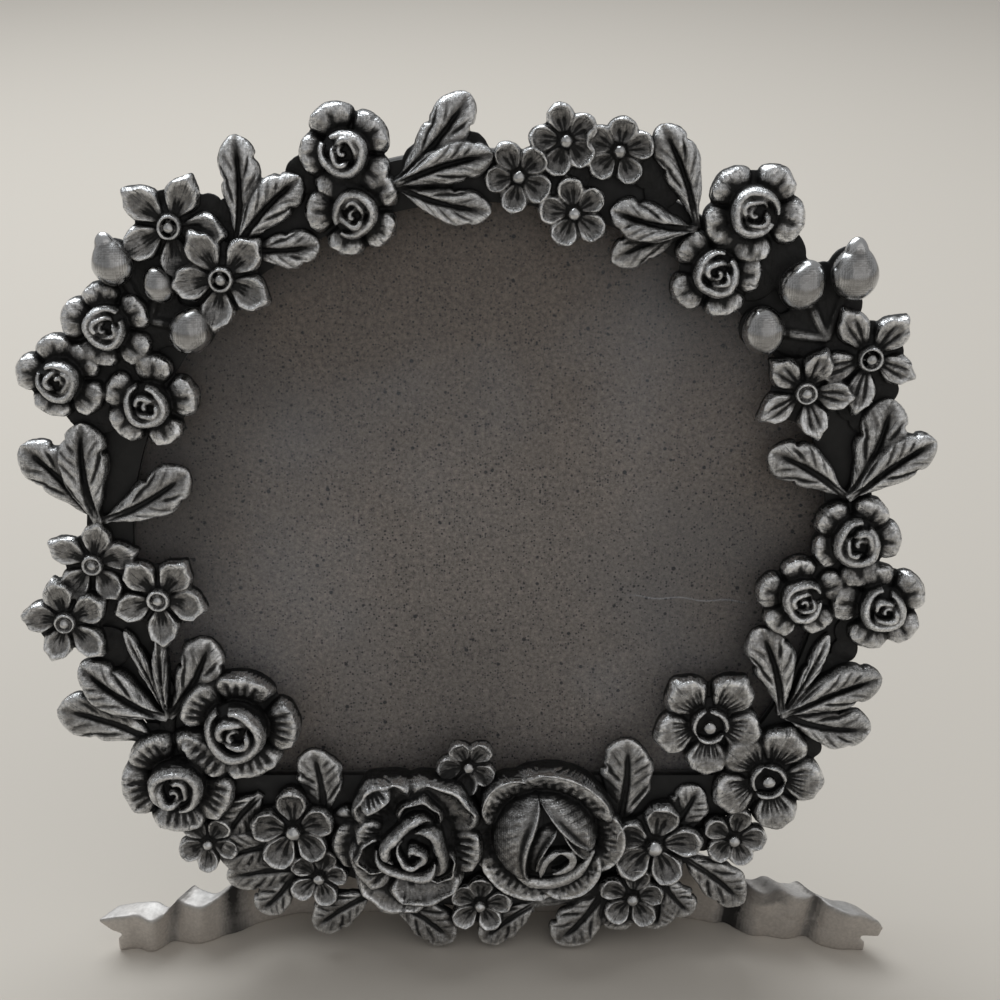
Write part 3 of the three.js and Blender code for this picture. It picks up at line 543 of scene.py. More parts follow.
def openRose(place, size, turn):
    parts = ground(place, size * 0.9)
    for name, *form in openRosePetals:
        parts.append(setPetal(name, place, size, *form))
    outwards = turned(openRoseTip["direction"]) @ Vector((openRoseTip["rim"] * size, 0, 0))
    tip = pointing(place + outwards, openRoseTip["direction"] + 180)
    tipSize = scaled(*(size * openRoseTip[key] for key in ("wide", "long", "height")))
    parts.append(copyOf("ribGuard", tip @ tipSize))
    parts += around(place, size, turn, "openInner", 3, 60, 0.72, jitter=0.1)
    parts += around(place, size, turn, "heartFloor", 1, 0, 1.2)
    parts += around(place, size, turn, "openWrap", 3, 10)
    return parts + around(place, size, turn, "openHook", 1, 200)


# the rosebud's outer petals as (direction, reach, width, height), and the pair inside as (form, turn, width)
rosebudCollar = ((62, 0.98, 1.25, 1.15), (133, 1.02, 0.8, 1.0), (188, 1.06, 0.75, 0.75),
                 (240, 1.0, 1.1, 0.85), (302, 1.02, 0.85, 0.9), (352, 1.1, 0.8, 0.8))
rosebudInside = {"petals": (("budLeft", -14, 0.7), ("budRight", -8, 0.72)), "place": (0.13, -0.12, 0),
                 "height": 0.9}


def rosebud(place, size, turn):    # called as the others are, but its petals have their own directions
    parts = ground(place, size * 0.8)
    for form in rosebudCollar:
        parts.append(setPetal("budGuard", place, size, *form))
    for name in ("budCore", "budLeft", "budRight", *budFolds):
        parts += around(place, size, 90, name, 1, jitter=0.0)
    for name, turnIn, wide in rosebudInside["petals"]:
        inside = Matrix.Translation(place + Vector(rosebudInside["place"]) * size) @ turned(turnIn)
        parts.append(copyOf(name, inside @ scaled(size * wide, size * wide, size * rosebudInside["height"])))
    return parts


budTip = {"place": (-0.06, 0.92, 0.05), "size": 0.5}


def bud(place, size, direction, tipped):
    matrix = pointing(place + Vector((0, 0, size * 0.75)), direction)
    parts = [copyOf("budEgg", matrix @ scaled(size, size, size))]
    if tipped:
        tip = matrix @ Matrix.Translation(Vector(budTip["place"]) * size)
        parts.append(copyOf("budEgg", tip @ scaled(*[size * budTip["size"]] * 3)))
    return parts


def leaf(place, direction, length, width, kind, height=1.0):
    return [copyOf(kind, pointing(place, direction) @ scaled(width / 2, length, height))]


def stem(start, end, width, height):
    along = end - start
    direction = math.degrees(math.atan2(along.y, along.x))
    return [copyOf("stem", pointing(start, direction) @ scaled(width / 2, along.length, height))]


# the wreath: each spray's flowers as (kind, angle, offset from the wreath's line, radius, turn)
flowerSprays = {
    "rosebud_large": [(rosebud, 282.5, -5.8, 7.8, 85)],
    "rose_large_open": [(openRose, 257.5, -5.2, 7.2, 20)],
    "blossom_centre_top": [(blossom, 267, -14.3, 3.1, 45)],
    "blossom_centre_low": [(blossom, 270, 2.2, 3.4, 11)],
    "rose_pair_low_left": [(ribRose, 216, -6.3, 6.0, 3), (ribRose, 218, 3, 5.5, 53)],
    "anemone_pair": [(anemone, 322.5, -7.3, 5.5, 57), (anemone, 321, 1.6, 5.6, 64)],
    "rose_pair_top_left": [(rose, 107.5, 4.4, 4.4, 40), (rose, 109, -1.1, 4.2, 36)],
    "rose_pair_top_right": [(rose, 53.3, 5.4, 4.5, 55), (rose, 52, -1, 4.1, 66)],
    "rose_trio_right": [(rose, 3, 0.2, 4.5, 65), (rose, 352.5, -4.5, 4.1, 21), (rose, 353, 3.6, 4.5, 31)],
    "rose_trio_left": [(rose, 155.5, 7.2, 4.1, 32), (rose, 146.5, 5.3, 4.1, 27),
                       (rose, 153.5, -1.4, 4.3, 9)],
    "blossom_cluster_top": [(blossom, 75.5, -2.1, 3.2, 33), (blossom, 84.5, 0.3, 3.3, 47),
                            (blossom, 79, 4.2, 3.2, 34), (blossom, 72, 4.5, 3.2, 9)],
    "blossom_pair_right": [(ringBlossom, 28.5, 5.4, 4.6, 47), (ringBlossom, 28.5, -1.5, 4.3, 70)],
    "blossom_pair_upper_left": [(starBlossom, 131.5, 6.6, 4.5, 66), (starBlossom, 131, -0.1, 4.5, 48)],
    "blossom_trio_left": [(starBlossom, 181, 1.6, 4.0, 12), (starBlossom, 187.5, -4.6, 4.5, 58),
                          (starBlossom, 189, 5.2, 4.3, 27)],
    "blossom_pair_bottom_left": [(blossom, 237, -1, 4.4, 23), (blossom, 244.5, 2.9, 3.2, 3)],
    "blossom_low_left": [(blossom, 228, 6, 3.1, 55)],
    "blossom_pair_bottom_right": [(blossom, 300, -0.2, 4.6, 9), (blossom, 293, 4.7, 3.5, 10)],
    "blossom_low_right": [(blossom, 310.5, 4.4, 3.3, 3)],
}
# how far some sprays stand off the leaves below them
raisedSprays = {"blossom_centre_top": 0.7, "blossom_centre_low": 0.5, "blossom_pair_bottom_left": 0.4,
                "blossom_low_left": 0.3, "blossom_pair_bottom_right": 0.5, "blossom_low_right": 0.3}
# how far each flower of a spray stands above the one before it
overlaps = {"blossom_pair_upper_left": 0.6, "blossom_pair_right": 0.5, "blossom_trio_left": 0.25}
# leaves beside the lower left flowers as (angle, offset, direction, length, width, kind)
fillerLeaves = {
    "blossom_low_left": [(229, -2, 232, 6.4, 4.6, "leafBroad")],
    "blossom_pair_bottom_left": [(237.5, 1, 196, 7.6, 5.0, "leafBroad")],
    "rose_large_open": [(257.5, -5.2, 166, 9, 3.4, "leafVeined"), (257.5, -5.2, 192, 9.5, 3.2, "leafVeined")],
}
# bud sprigs: the fork, then each bud as (angle, offset, radius, direction, tipped)
budSprigs = {
    "bud_sprig_right": ((33.5, 2.7), [(42, 3.8, 2.2, 62, False), (39, 8.2, 2.3, 86, True),
                                      (40.5, -1.7, 2.1, 100, False)]),
    "bud_sprig_left": ((143, 2.4), [(138, 3.7, 1.6, 110, False), (139.5, 8.3, 2.0, 104, True),
                                    (140, -1.3, 2.1, 60, False)]),
}
# leaf sprays: the base that the leaves share, then each leaf as (direction, length, width),
# with an angle and an offset after them where it has a base of its own
leafSprays = {
    "leaf_spray_upper_left": ((126.5, 1.2), [(89, 10.3, 3.9), (46, 9, 4.2), (1, 7.8, 3.6)]),
    "leaf_spray_top": ((102.5, 0.2), [(49, 11.0, 4.2), (17, 9.8, 4.0), (-15, 9.5, 3.6)]),
    "leaf_spray_top_right": ((58, 1.2), [(111, 10.2, 4.0), (168, 8.4, 4.0), (201, 8.5, 3.6)]),
    "leaf_spray_right": ((9.5, -0.3), [(70, 10.8, 5.0), (36, 10.2, 4.6), (149, 9.3, 4.6)]),
    "leaf_spray_low_right": ((331, -1.5), [(106, 10.1, 4.8), (23, 11, 4.8), (-11, 9.7, 4.6),
                                          (64, 10, 1.6)]),
    "leaf_spray_left": ((174.5, 0.9), [(132, 10.6, 5.0), (95, 10.3, 5.0), (29, 10.6, 4.6)]),
    "leaf_spray_low_left": ((208.6, -0.4), [(61, 10, 5.0), (146, 10.6, 4.8), (160, 11.5, 5.6, 212.1, 1.8),
                                            (112, 10.5, 1.6), (92, 9.5, 1.6)]),
}
# leaf branches: each leaf as (angle, offset, direction, length, width)
leafBranches = {
    "leaves_bottom_left": [(242.5, 2.6, 189, 9, 4.8), (241, 4.6, 228, 5.6, 3.8)],
    "leaf_bottom_left_up": [(240.3, -3.8, 98, 7.7, 5.0)],
    "leaves_bottom_centre": [(253, 3.1, 215, 7.6, 4.6), (256, 3, 321, 8.8, 4.8), (278.5, 3, 219, 7.5, 4.4),
                             (289, 3.4, 232, 8.0, 5.0), (290, 3.4, 296, 5.2, 4.2)],
    "leaf_bottom_right_up": [(296, -3.7, 86, 10, 5.6)],
    "leaves_bottom_right": [(302, -0.2, 58, 6.7, 4.4), (302.5, 3.2, 320, 8.9, 4.6),
                            (298, 4.4, 308, 5.6, 3.8), (296.5, 5, 272, 5.2, 4.2)],
}
# low black ground in the gaps between flowers, as (angle, offset, radius)
groundPatches = {
    "bud_sprig_right": [(46.9, 3.8, 2.9), (47.5, 1.0, 2.6), (40.4, 5.6, 1.7)],
    "bud_sprig_left": [(136.8, 5.6, 1.8), (146, 2.5, 2.4)],
    "rose_trio_left": [(157.3, 3.5, 3.2), (149.9, 4.6, 2.4)],
    "rose_trio_right": [(344.6, 1.6, 1.4), (347.8, 1.5, 1.6), (341.6, 1.1, 1.5), (356, 0.2, 3.0)],
    "rose_pair_low_left": [(210.4, 2.4, 1.6), (224.8, 3.5, 1.5)],
    "rose_pair_top_left": [(113.6, 3.7, 1.8)],
    "anemone_pair": [(328.3, 3.3, 1.4)],
    "blossom_cluster_top": [(67.5, 3.6, 1.6), (79, 1.2, 3.0)],
    "blossom_pair_upper_left": [(126.5, 5.6, 1.4), (131.5, 3.2, 2.6), (127.2, 3.2, 1.6)],
    "blossom_pair_right": [(23.3, 5.5, 1.5), (28.5, 2.0, 2.4), (20.5, 2.8, 1.4), (23.0, 2.3, 1.6)],
    "blossom_trio_left": [(186, 1.0, 2.6), (194.7, 2.2, 2.3)],
    "blossom_pair_bottom_left": [(232.4, 4.4, 2.4), (233.8, 2.0, 2.8)],
    "blossom_pair_bottom_right": [(306.5, 2.8, 1.4)],
    "leaf_spray_top": [(91.4, 2.4, 1.8), (97.5, 1.5, 2.2)],
    "leaf_spray_top_right": [(64.7, 2.6, 1.7)],
    "leaf_spray_upper_left": [(124.6, 4.0, 1.5)],
}
patchHeight = 0.8
fullPatches = {"blossom_low_left": [(228, 3.2, 2.0)]}    # the same, but of full height
# stems as (width, height), leaves as (form, height)
flowerJoin = {"stem": (3.4, 0.8), "underlay": 0.6}
sprigForm = {"stem": (1.3, 1.2), "underBud": 1.05, "underStem": 2.3, "underFork": 3.0, "uneven": 0.06,
             "smoothing": 16}
sprayForm = {"stem": (2.0, 0.8), "leaves": (("leafVeined", 1.0), ("leafSplit", 1.3), ("leafVeined", 0.8))}
branchForm = {"stem": (2.0, 0.8), "leaves": (("leafBroad", 0.8), ("leafTurned", 0.8))}
castForm = {"voxel": 0.123, "smoothing": 3, "uneven": 0.2, "lift": 0.05,
            "fullness": 1.05}

unevenness = bpy.data.textures.new("castUnevenness", "CLOUDS")    # the slight lumps of a hand-cut mould
unevenness.noise_scale = 1.1
unevenness.noise_depth = 2


def fuse(piece, voxel):
    choose(piece)
    piece.data.remesh_voxel_size = voxel
    piece.data.use_remesh_preserve_attributes = True
    bpy.ops.object.voxel_remesh()


def cast(node, parts, form=castForm):    # joins a spray's parts and fuses them into one skin
    for angle, offset, radius in groundPatches.get(node, []):
        parts += ground(onWreath(angle, offset), radius, patchHeight)
    deselectAll()
    for part in parts:
        part.select_set(True)
    piece = parts[0]
    bpy.context.view_layer.objects.active = piece
    bpy.ops.object.join()
    bpy.ops.object.transform_apply(location=True, rotation=True, scale=True)
    piece.name = node + "_cast"
    piece.data.name = piece.name
    model = piece.copy()
    model.data = piece.data.copy()
    bpy.context.collection.objects.link(model)
    fuse(piece, castForm["voxel"])
    applyModifier(piece, "SHRINKWRAP", target=model, wrap_method="NEAREST_SURFACEPOINT")    # no voxel steps
    bpy.data.objects.remove(model)
    applyModifier(piece, "SMOOTH", factor=0.5, iterations=form["smoothing"])
    applyModifier(piece, "DISPLACE", texture=unevenness, texture_coords="LOCAL", strength=form["uneven"],
                  mid_level=0.5)
    points = readPoints(piece)
    points[:, 2] += castForm["lift"]
    writePoints(piece, points)
    choose(piece)
    bpy.ops.object.shade_smooth()
    return piece


castings = {}
for node, flowers in flowerSprays.items():
    parts = []
    places = [onWreath(angle, offset) for _, angle, offset, _, _ in flowers]
    lift = raisedSprays.get(node, 0)
    for place, (kind, _, _, size, turn) in zip(places, flowers):
        parts += kind(place + Vector((0, 0, lift)), size * castForm["fullness"], turn)
        if lift:
            parts += ground(place, size * flowerJoin["underlay"], lift + 1)
        lift += overlaps.get(node, 0)
    for start, end in zip(places, places[1:]):
        parts += stem(start, end, *flowerJoin["stem"])
    for angle, offset, *leafForm in fillerLeaves.get(node, []):
        parts += leaf(onWreath(angle, offset), *leafForm)
    for angle, offset, radius in fullPatches.get(node, []):
        parts += ground(onWreath(angle, offset), radius)
    castings[node] = cast(node, parts)
for node, (fork, buds) in budSprigs.items():
    parts = []
    forkPlace = onWreath(*fork)
    for angle, offset, size, direction, tipped in buds:
        place = onWreath(angle, offset)
        parts += bud(place, size, direction, tipped)
        parts += stem(forkPlace, place, *sprigForm["stem"])
        parts += ground(place, size * sprigForm["underBud"])
        parts += ground((forkPlace + place) / 2, sprigForm["underStem"])
    parts += ground(forkPlace, sprigForm["underFork"])
    castings[node] = cast(node, parts, sprigForm)
for node, (base, leaves) in leafSprays.items():
    parts = []
    for k, (direction, length, width, *ownBase) in enumerate(leaves):
        place = onWreath(*(ownBase or base))
        parts += leaf(place, direction, length, width, *sprayForm["leaves"][k % 3])
        parts += stem(onWreath(*base), place, *sprayForm["stem"]) if ownBase else []
    castings[node] = cast(node, parts)
for node, leaves in leafBranches.items():
    parts = []
    places = [onWreath(angle, offset) for angle, offset, *_ in leaves]
    for k, (place, (_, _, direction, length, width)) in enumerate(zip(places, leaves)):
        parts += leaf(place, direction, length, width, *branchForm["leaves"][k % 2])
    for start, end in zip(places, places[1:]):
        parts += stem(start, end, *branchForm["stem"])
    castings[node] = cast(node, parts)
print("sprays cast:", len(castings), sum(len(piece.data.vertices) for piece in castings.values()), "points")


# patina: how deep each point lies below the relief around it, and how far it stands proud
reliefGrid = {"halfSize": 50.0, "cell": 0.2}
gridCount = int(2 * reliefGrid["halfSize"] / reliefGrid["cell"])
# hollows as (blur, depth at full black, weight)
patinaForm = {"hollows": ((0.4, 0.4, 1.0), (1.0, 0.8, 0.65), (2.2, 1.5, 0.25)), "hollowShare": 0.75,
              "hidden": (0.3, 0.6), "hiddenShare": 0.6, "proud": 0.13, "backDepth": 0.15, "backRecess": 0.4}


def blurred(heights, radius):
    waves = np.fft.fftfreq(gridCount, reliefGrid["cell"])
    fall = np.exp(-2 * (np.pi * radius * waves) ** 2)
    return np.real(np.fft.ifft2(np.fft.fft2(heights) * fall[:, None] * fall[None, :]))


def gridPlace(points):
    cells = ((points[:, :2] + reliefGrid["halfSize"]) / reliefGrid["cell"]).astype(int)
    return np.clip(cells[:, 1], 0, gridCount - 1), np.clip(cells[:, 0], 0, gridCount - 1)


relief = np.zeros((gridCount, gridCount))
for piece in castings.values():
    points = readPoints(piece)
    np.maximum.at(relief, gridPlace(points), points[:, 2])
levels = [blurred(relief, radius) for radius, _, _ in patinaForm["hollows"]]
overhang, overhangFull = patinaForm["hidden"]
for piece in castings.values():
    points = readPoints(piece)
    cells = gridPlace(points)
    height = points[:, 2]
    sunk = np.zeros_like(height)
    for level, (_, depth, weight) in zip(levels, patinaForm["hollows"]):
        sunk = sunk + weight * np.clip((level[cells] - height) / depth, 0, 1)
    hidden = np.clip((relief[cells] - height - overhang) / overhangFull, 0, 1)
    black = np.clip(patinaForm["hollowShare"] * sunk + patinaForm["hiddenShare"] * hidden, 0, 1)
    plainBack = height < castForm["lift"] + patinaForm["backDepth"]
    writeValues(piece, "recess", np.where(plainBack, patinaForm["backRecess"], black))
    writeValues(piece, "rubAndTopShade", np.clip((height - levels[0][cells]) / patinaForm["proud"], 0, 1))
    setInPlace(piece, ringMatrix)
print("patina measured")
for template in workshop.values():
    bpy.data.objects.remove(template)


# shader helpers
def newNode(tree, kind, x, y, **settings):
    node = tree.nodes.new(kind)
    node.location = (x, y)
    for name, value in settings.items():
        setattr(node, name, value)
    return node


def feed(tree, sockets, values):    # links what comes from a node and sets what is plain
    for socket, value in zip(sockets, values):
        if isinstance(value, bpy.types.NodeSocket):
            tree.links.new(value, socket)
        else:
            socket.default_value = value


def mixColour(tree, x, y, factor, first, second, blend="MIX"):
    node = newNode(tree, "ShaderNodeMix", x, y, data_type="RGBA", blend_type=blend)
    feed(tree, (node.inputs[0], node.inputs[6], node.inputs[7]), (factor, first, second))
    return node.outputs[2]


def maths(tree, x, y, operation, *values):
    node = newNode(tree, "ShaderNodeMath", x, y, operation=operation)
    feed(tree, node.inputs, values)
    return node.outputs[0]


def vectorMaths(tree, x, y, operation, first, second):
    node = newNode(tree, "ShaderNodeVectorMath", x, y, operation=operation)
    feed(tree, node.inputs, (first, second))
    return node.outputs["Vector" if operation == "SUBTRACT" else "Value"]


def noise(tree, x, y, coordinates, scale, detail=3.0, roughness=0.55):
    node = newNode(tree, "ShaderNodeTexNoise", x, y)
    sockets = [node.inputs[name] for name in ("Vector", "Scale", "Detail", "Roughness")]
    feed(tree, sockets, (coordinates, scale, detail, roughness))
    return node.outputs["Fac"]


def remap(tree, x, y, value, low, high, toLow=0.0, toHigh=1.0):
    node = newNode(tree, "ShaderNodeMapRange", x, y)
    feed(tree, node.inputs[:5], (value, low, high, toLow, toHigh))
    return node.outputs["Result"]


def objectPlace(tree, x, y):
    return newNode(tree, "ShaderNodeTexCoord", x, y).outputs["Object"]


def written(tree, x, y, name):    # a value that was written on the piece's points
    return newNode(tree, "ShaderNodeAttribute", x, y, attribute_name=name).outputs["Fac"]


def bumpFrom(tree, shader, height, strength, distance):
    bump = newNode(tree, "ShaderNodeBump", -250, -300)
    bump.inputs["Strength"].default_value = strength
    bump.inputs["Distance"].default_value = distance
    tree.links.new(height, bump.inputs["Height"])
    tree.links.new(bump.outputs["Normal"], shader.inputs["Normal"])


def grey(level, warm=0.0):
    return (level * (1 + warm), level, level * (1 - warm), 1)


# the blackened and rubbed pewter that the whole wreath shares; the satin finish on the ribbon uses it for a
# painted shade along the top edge
def patinaGroup():
    group = bpy.data.node_groups.new("pewterPatina", "ShaderNodeTree")
    for name in ("Metal", "WornAndShade", "Dark"):
        group.interface.new_socket(name, in_out="INPUT", socket_type="NodeSocketColor")
    group.interface.new_socket("Blackening", in_out="INPUT", socket_type="NodeSocketFloat")
    group.interface.new_socket("Color", in_out="OUTPUT", socket_type="NodeSocketColor")
    for name in ("Roughness", "Metallic", "Height"):
        group.interface.new_socket(name, in_out="OUTPUT", socket_type="NodeSocketFloat")
    given = newNode(group, "NodeGroupInput", -1200, 200)
    made = newNode(group, "NodeGroupOutput", 900, 0)
    place = objectPlace(group, -1200, -300)
    recess = written(group, -1200, -50, "recess")
    rubAndTopShade = written(group, -1200, -150, "rubAndTopShade")
    ink = written(group, -1200, -220, "ink")
    lane = written(group, -1450, -400, "lane")
    reach = written(group, -1450, -550, "reach")
    strokePlace = newNode(group, "ShaderNodeCombineXYZ", -1200, -480)
    group.links.new(maths(group, -1300, -400, "MULTIPLY", lane, 8.0), strokePlace.inputs["X"])
    group.links.new(maths(group, -1300, -550, "MULTIPLY", reach, 1.6), strokePlace.inputs["Y"])
    strokes = noise(group, -950, -200, strokePlace.outputs[0], 1.0, 3, 0.6)
    fineStrokes = noise(group, -950, -100, strokePlace.outputs[0], 3.2, 3, 0.6)
    scratches = maths(group, -650, -150, "MAXIMUM", remap(group, -800, -250, strokes, 0.53, 0.68),
                      remap(group, -800, -100, fineStrokes, 0.56, 0.7, 0.0, 0.75))
    mottle = noise(group, -950, -400, place, 900, 4)
    grain = noise(group, -950, -600, place, 3200, 3)
    cloud = noise(group, -950, -800, place, 160, 3)
    satin = written(group, -950, -1000, "satin")
    coarse = remap(group, -700, -1000, satin, 0, 1, 1.0, 0.15)    # satin pewter is smoother all over
    scratches = maths(group, -600, -250, "MULTIPLY", scratches, coarse)
    spots = maths(group, -600, -400, "MULTIPLY", remap(group, -700, -400, mottle, 0.52, 0.72), coarse)
    black = maths(group, -700, 0, "MULTIPLY", recess, given.outputs["Blackening"])
    black = maths(group, -500, 0, "ADD", black, maths(group, -700, -150, "MULTIPLY", ink, 0.75))
    black = maths(group, -300, 0, "ADD", black, maths(group, -500, -300, "MULTIPLY", spots, 0.28))
    black = maths(group, -200, 100, "ADD", black, maths(group, -400, 200, "MULTIPLY", scratches, 0.6))
    dark = remap(group, -100, 0, black, 0.12, 0.8)
    patchy = remap(group, -500, -800, cloud, 0.3, 0.7, 0.5, 1.0)
    patchy = maths(group, -400, -800, "MULTIPLY", patchy, remap(group, -500, -1000, satin, 0, 1, 1.0, 0.65))
    # rubbed wear on the wreath's proud points; on the satin ribbon the same mix paints shade along its top
    # edge
    wornandshade = maths(group, -300, -200, "MULTIPLY", maths(group, -500, -500, "POWER", rubAndTopShade, 1.1), patchy)
    colour = mixColour(group, 100, 300, wornandshade, given.outputs["Metal"], given.outputs["WornAndShade"])
    grit = remap(group, 100, 500, grain, 0.32, 0.68, 0.7, 1.22)
    colour = mixColour(group, 250, 300, coarse, colour, grit, "MULTIPLY")
    colour = mixColour(group, 350, 200, dark, colour, given.outputs["Dark"])
    group.links.new(colour, made.inputs["Color"])
    rough = maths(group, 350, -100, "ADD", remap(group, 100, -100, dark, 0, 1, 0.24, 0.55),
                  remap(group, 100, -350, mottle, 0.3, 0.7, -0.05, 0.08))
    rough = maths(group, 500, -100, "SUBTRACT", rough, maths(group, 350, -200, "MULTIPLY", wornandshade, 0.05))
    group.links.new(rough, made.inputs["Roughness"])
    group.links.new(remap(group, 350, -300, dark, 0, 1, 1.0, 0.25), made.inputs["Metallic"])
    height = maths(group, 350, -500, "ADD", mottle, maths(group, 100, -600, "MULTIPLY", grain, 0.4))
    height = maths(group, 550, -500, "SUBTRACT", height, maths(group, 350, -650, "MULTIPLY", scratches, 0.9))
    height = maths(group, 700, -500, "MULTIPLY", height, coarse)
    group.links.new(height, made.inputs["Height"])
    return group


patina = patinaGroup()
patinaBump = 0.0003    # metres
pewterFinishes = {
    "antiquedPewter": {"metal": grey(0.255, 0.015), "wornandshade": grey(0.95, -0.01), "dark": grey(0.008, 0.0),
                       "blackening": 1.22, "bump": 0.36, "roughness": 0.0},
    # the satin finish's worn colour is darker than its metal: on the ribbon it paints shade along the top
    # edge
    "satinPewter": {"metal": grey(0.58, 0.06), "wornandshade": grey(0.36, -0.03), "dark": grey(0.03, 0.05),
                    "blackening": 0.8, "bump": 0.15, "roughness": 0.38},
}


def newMaterial(name):
    material = bpy.data.materials.new(name)
    material.use_nodes = True
    return material, material.node_tree, material.node_tree.nodes["Principled BSDF"]


def pewterMaterial(name, finish):
    material, tree, shader = newMaterial(name)
    group = newNode(tree, "ShaderNodeGroup", -500, 0, node_tree=patina)
    for setting in ("Metal", "WornAndShade", "Dark", "Blackening"):
        group.inputs[setting].default_value = finish[setting.lower()]
    bumpFrom(tree, shader, group.outputs["Height"], finish["bump"], patinaBump)
    rough = maths(tree, -250, -100, "ADD", group.outputs["Roughness"], finish["roughness"])
    tree.links.new(rough, shader.inputs["Roughness"])
    tree.links.new(group.outputs["Color"], shader.inputs["Base Color"])
    tree.links.new(group.outputs["Metallic"], shader.inputs["Metallic"])
    return material


materials = {name: pewterMaterial(name, finish) for name, finish in pewterFinishes.items()}


def dress(piece, material, node, body):
    piece.data.materials.clear()
    piece.data.materials.append(materials[material])
    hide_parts(node)
    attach(piece, body)


for node, piece in castings.items():
    dress(piece, "antiquedPewter", node, "frame")


# the ring: a section with a lip and a rebate, spun round, and the sill across the window's foot
ringForm = {"section": ((35.0, 0), (39.6, 0), (39.6, -4.4), (36.4, -4.4), (36.4, -1.3), (35.0, -1.3)),
            "steps": 160, "sill": -24.8, "lip": 1.3, "sillOverlap": 0.6, "bevel": 0.25, "satin": 0.7,
            "blackFront": -1, "sideRecess": 0.25}
smoothAngle = math.radians(40)


def frameRing():
    deselectAll()
    bpy.ops.mesh.primitive_circle_add(vertices=len(ringForm["section"]), radius=1)
    ring = bpy.context.object
    writePoints(ring, [(radius, 0, depth) for radius, depth in ringForm["section"]])
    openMesh(ring)
    bpy.ops.mesh.spin(steps=ringForm["steps"], angle=2 * math.pi, center=(0, 0, 0), axis=(0, 0, 1))
    bpy.ops.mesh.select_all(action="SELECT")
    bpy.ops.mesh.remove_doubles(threshold=0.001)
    bpy.ops.mesh.normals_make_consistent(inside=False)
    closeMesh()
    deselectAll()
    sillRadius = ringPlace["sightRadius"] + ringForm["sillOverlap"]
    bpy.ops.mesh.primitive_cylinder_add(vertices=ringForm["steps"], radius=sillRadius,
                                        depth=ringForm["lip"] - 0.02, location=(0, 0, -ringForm["lip"] / 2))
    sill = bpy.context.object
    bpy.ops.object.transform_apply(location=True)
    openMesh(sill)
    bpy.ops.mesh.bisect(plane_co=(0, ringForm["sill"], 0), plane_no=(0, 1, 0), use_fill=True,
                        clear_outer=True)
    closeMesh()
    applyModifier(ring, "BOOLEAN", object=sill, operation="UNION", solver="EXACT")
    bpy.data.objects.remove(sill)
    applyModifier(ring, "BEVEL", width=ringForm["bevel"], segments=2, limit_method="ANGLE")
    choose(ring)
    bpy.ops.object.shade_smooth_by_angle(angle=smoothAngle)
    depths = readPoints(ring)[:, 2]
    writeValues(ring, "satin", np.full(len(depths), ringForm["satin"]))
    writeValues(ring, "recess", np.where(depths > ringForm["blackFront"], 1.0, ringForm["sideRecess"]))
    writeValues(ring, "rubAndTopShade", np.zeros(len(depths)))
    ring.name = "frameRing"
    return setInPlace(ring, ringMatrix)


dress(frameRing(), "antiquedPewter", "frame_ring", "frame")
print("ring spun")


# the sheets in the rebate: glazing, card and back panel
sheetRound = {"radius": 36.1, "sides": 144}
sheetForms = {
    "glazing": {"front": 1.4, "thickness": 1.0, "bevel": 0.12, "finish": "clearGlazing",
                "slot": "clear_glazing"},
    "backing_card": {"front": 2.5, "thickness": 0.7, "bevel": 0.06, "finish": "greyChipboard",
                     "slot": "grey_chipboard"},
    "back_panel": {"front": 3.3, "thickness": 1.0, "bevel": 0.15, "finish": "blackBoard",
                   "slot": "black_board"},
}


def roundSheet(name, form):
    deselectAll()
    middle = (0, 0, -form["front"] - form["thickness"] / 2)
    bpy.ops.mesh.primitive_cylinder_add(vertices=sheetRound["sides"], radius=sheetRound["radius"],
                                        depth=form["thickness"], location=middle)
    sheet = bpy.context.object
    bpy.ops.object.transform_apply(location=True)
    applyModifier(sheet, "BEVEL", width=form["bevel"], segments=2, limit_method="ANGLE")
    choose(sheet)
    bpy.ops.object.shade_smooth_by_angle(angle=smoothAngle)
    sheet.name = name + "_sheet"
    return setInPlace(sheet, ringMatrix)


# specks as (scale, rarity, radius), and a painted shade that darkens the card towards its rim, most at the
# top, by its centre, its start and its full strength
cardLook = {"board": (0.066, 0.057, 0.05, 1), "pale": (0.36, 0.313, 0.275, 1),
            "cool": (0.138, 0.136, 0.14, 1), "speck": (0.018, 0.017, 0.017, 1),
            "specks": ((1500, 0.84, 0.36), (3800, 0.5, 0.46)),
            "rim": (0.66, 0.6, 0.54, 1), "shadeCentre": (0.001, 0, -0.013), "shadeFrom": 0.016, "shadeTo": 0.042,
            "roughness": 0.85, "bump": 0.25}
boardBump = 0.0002    # metres, for the boards and the steel


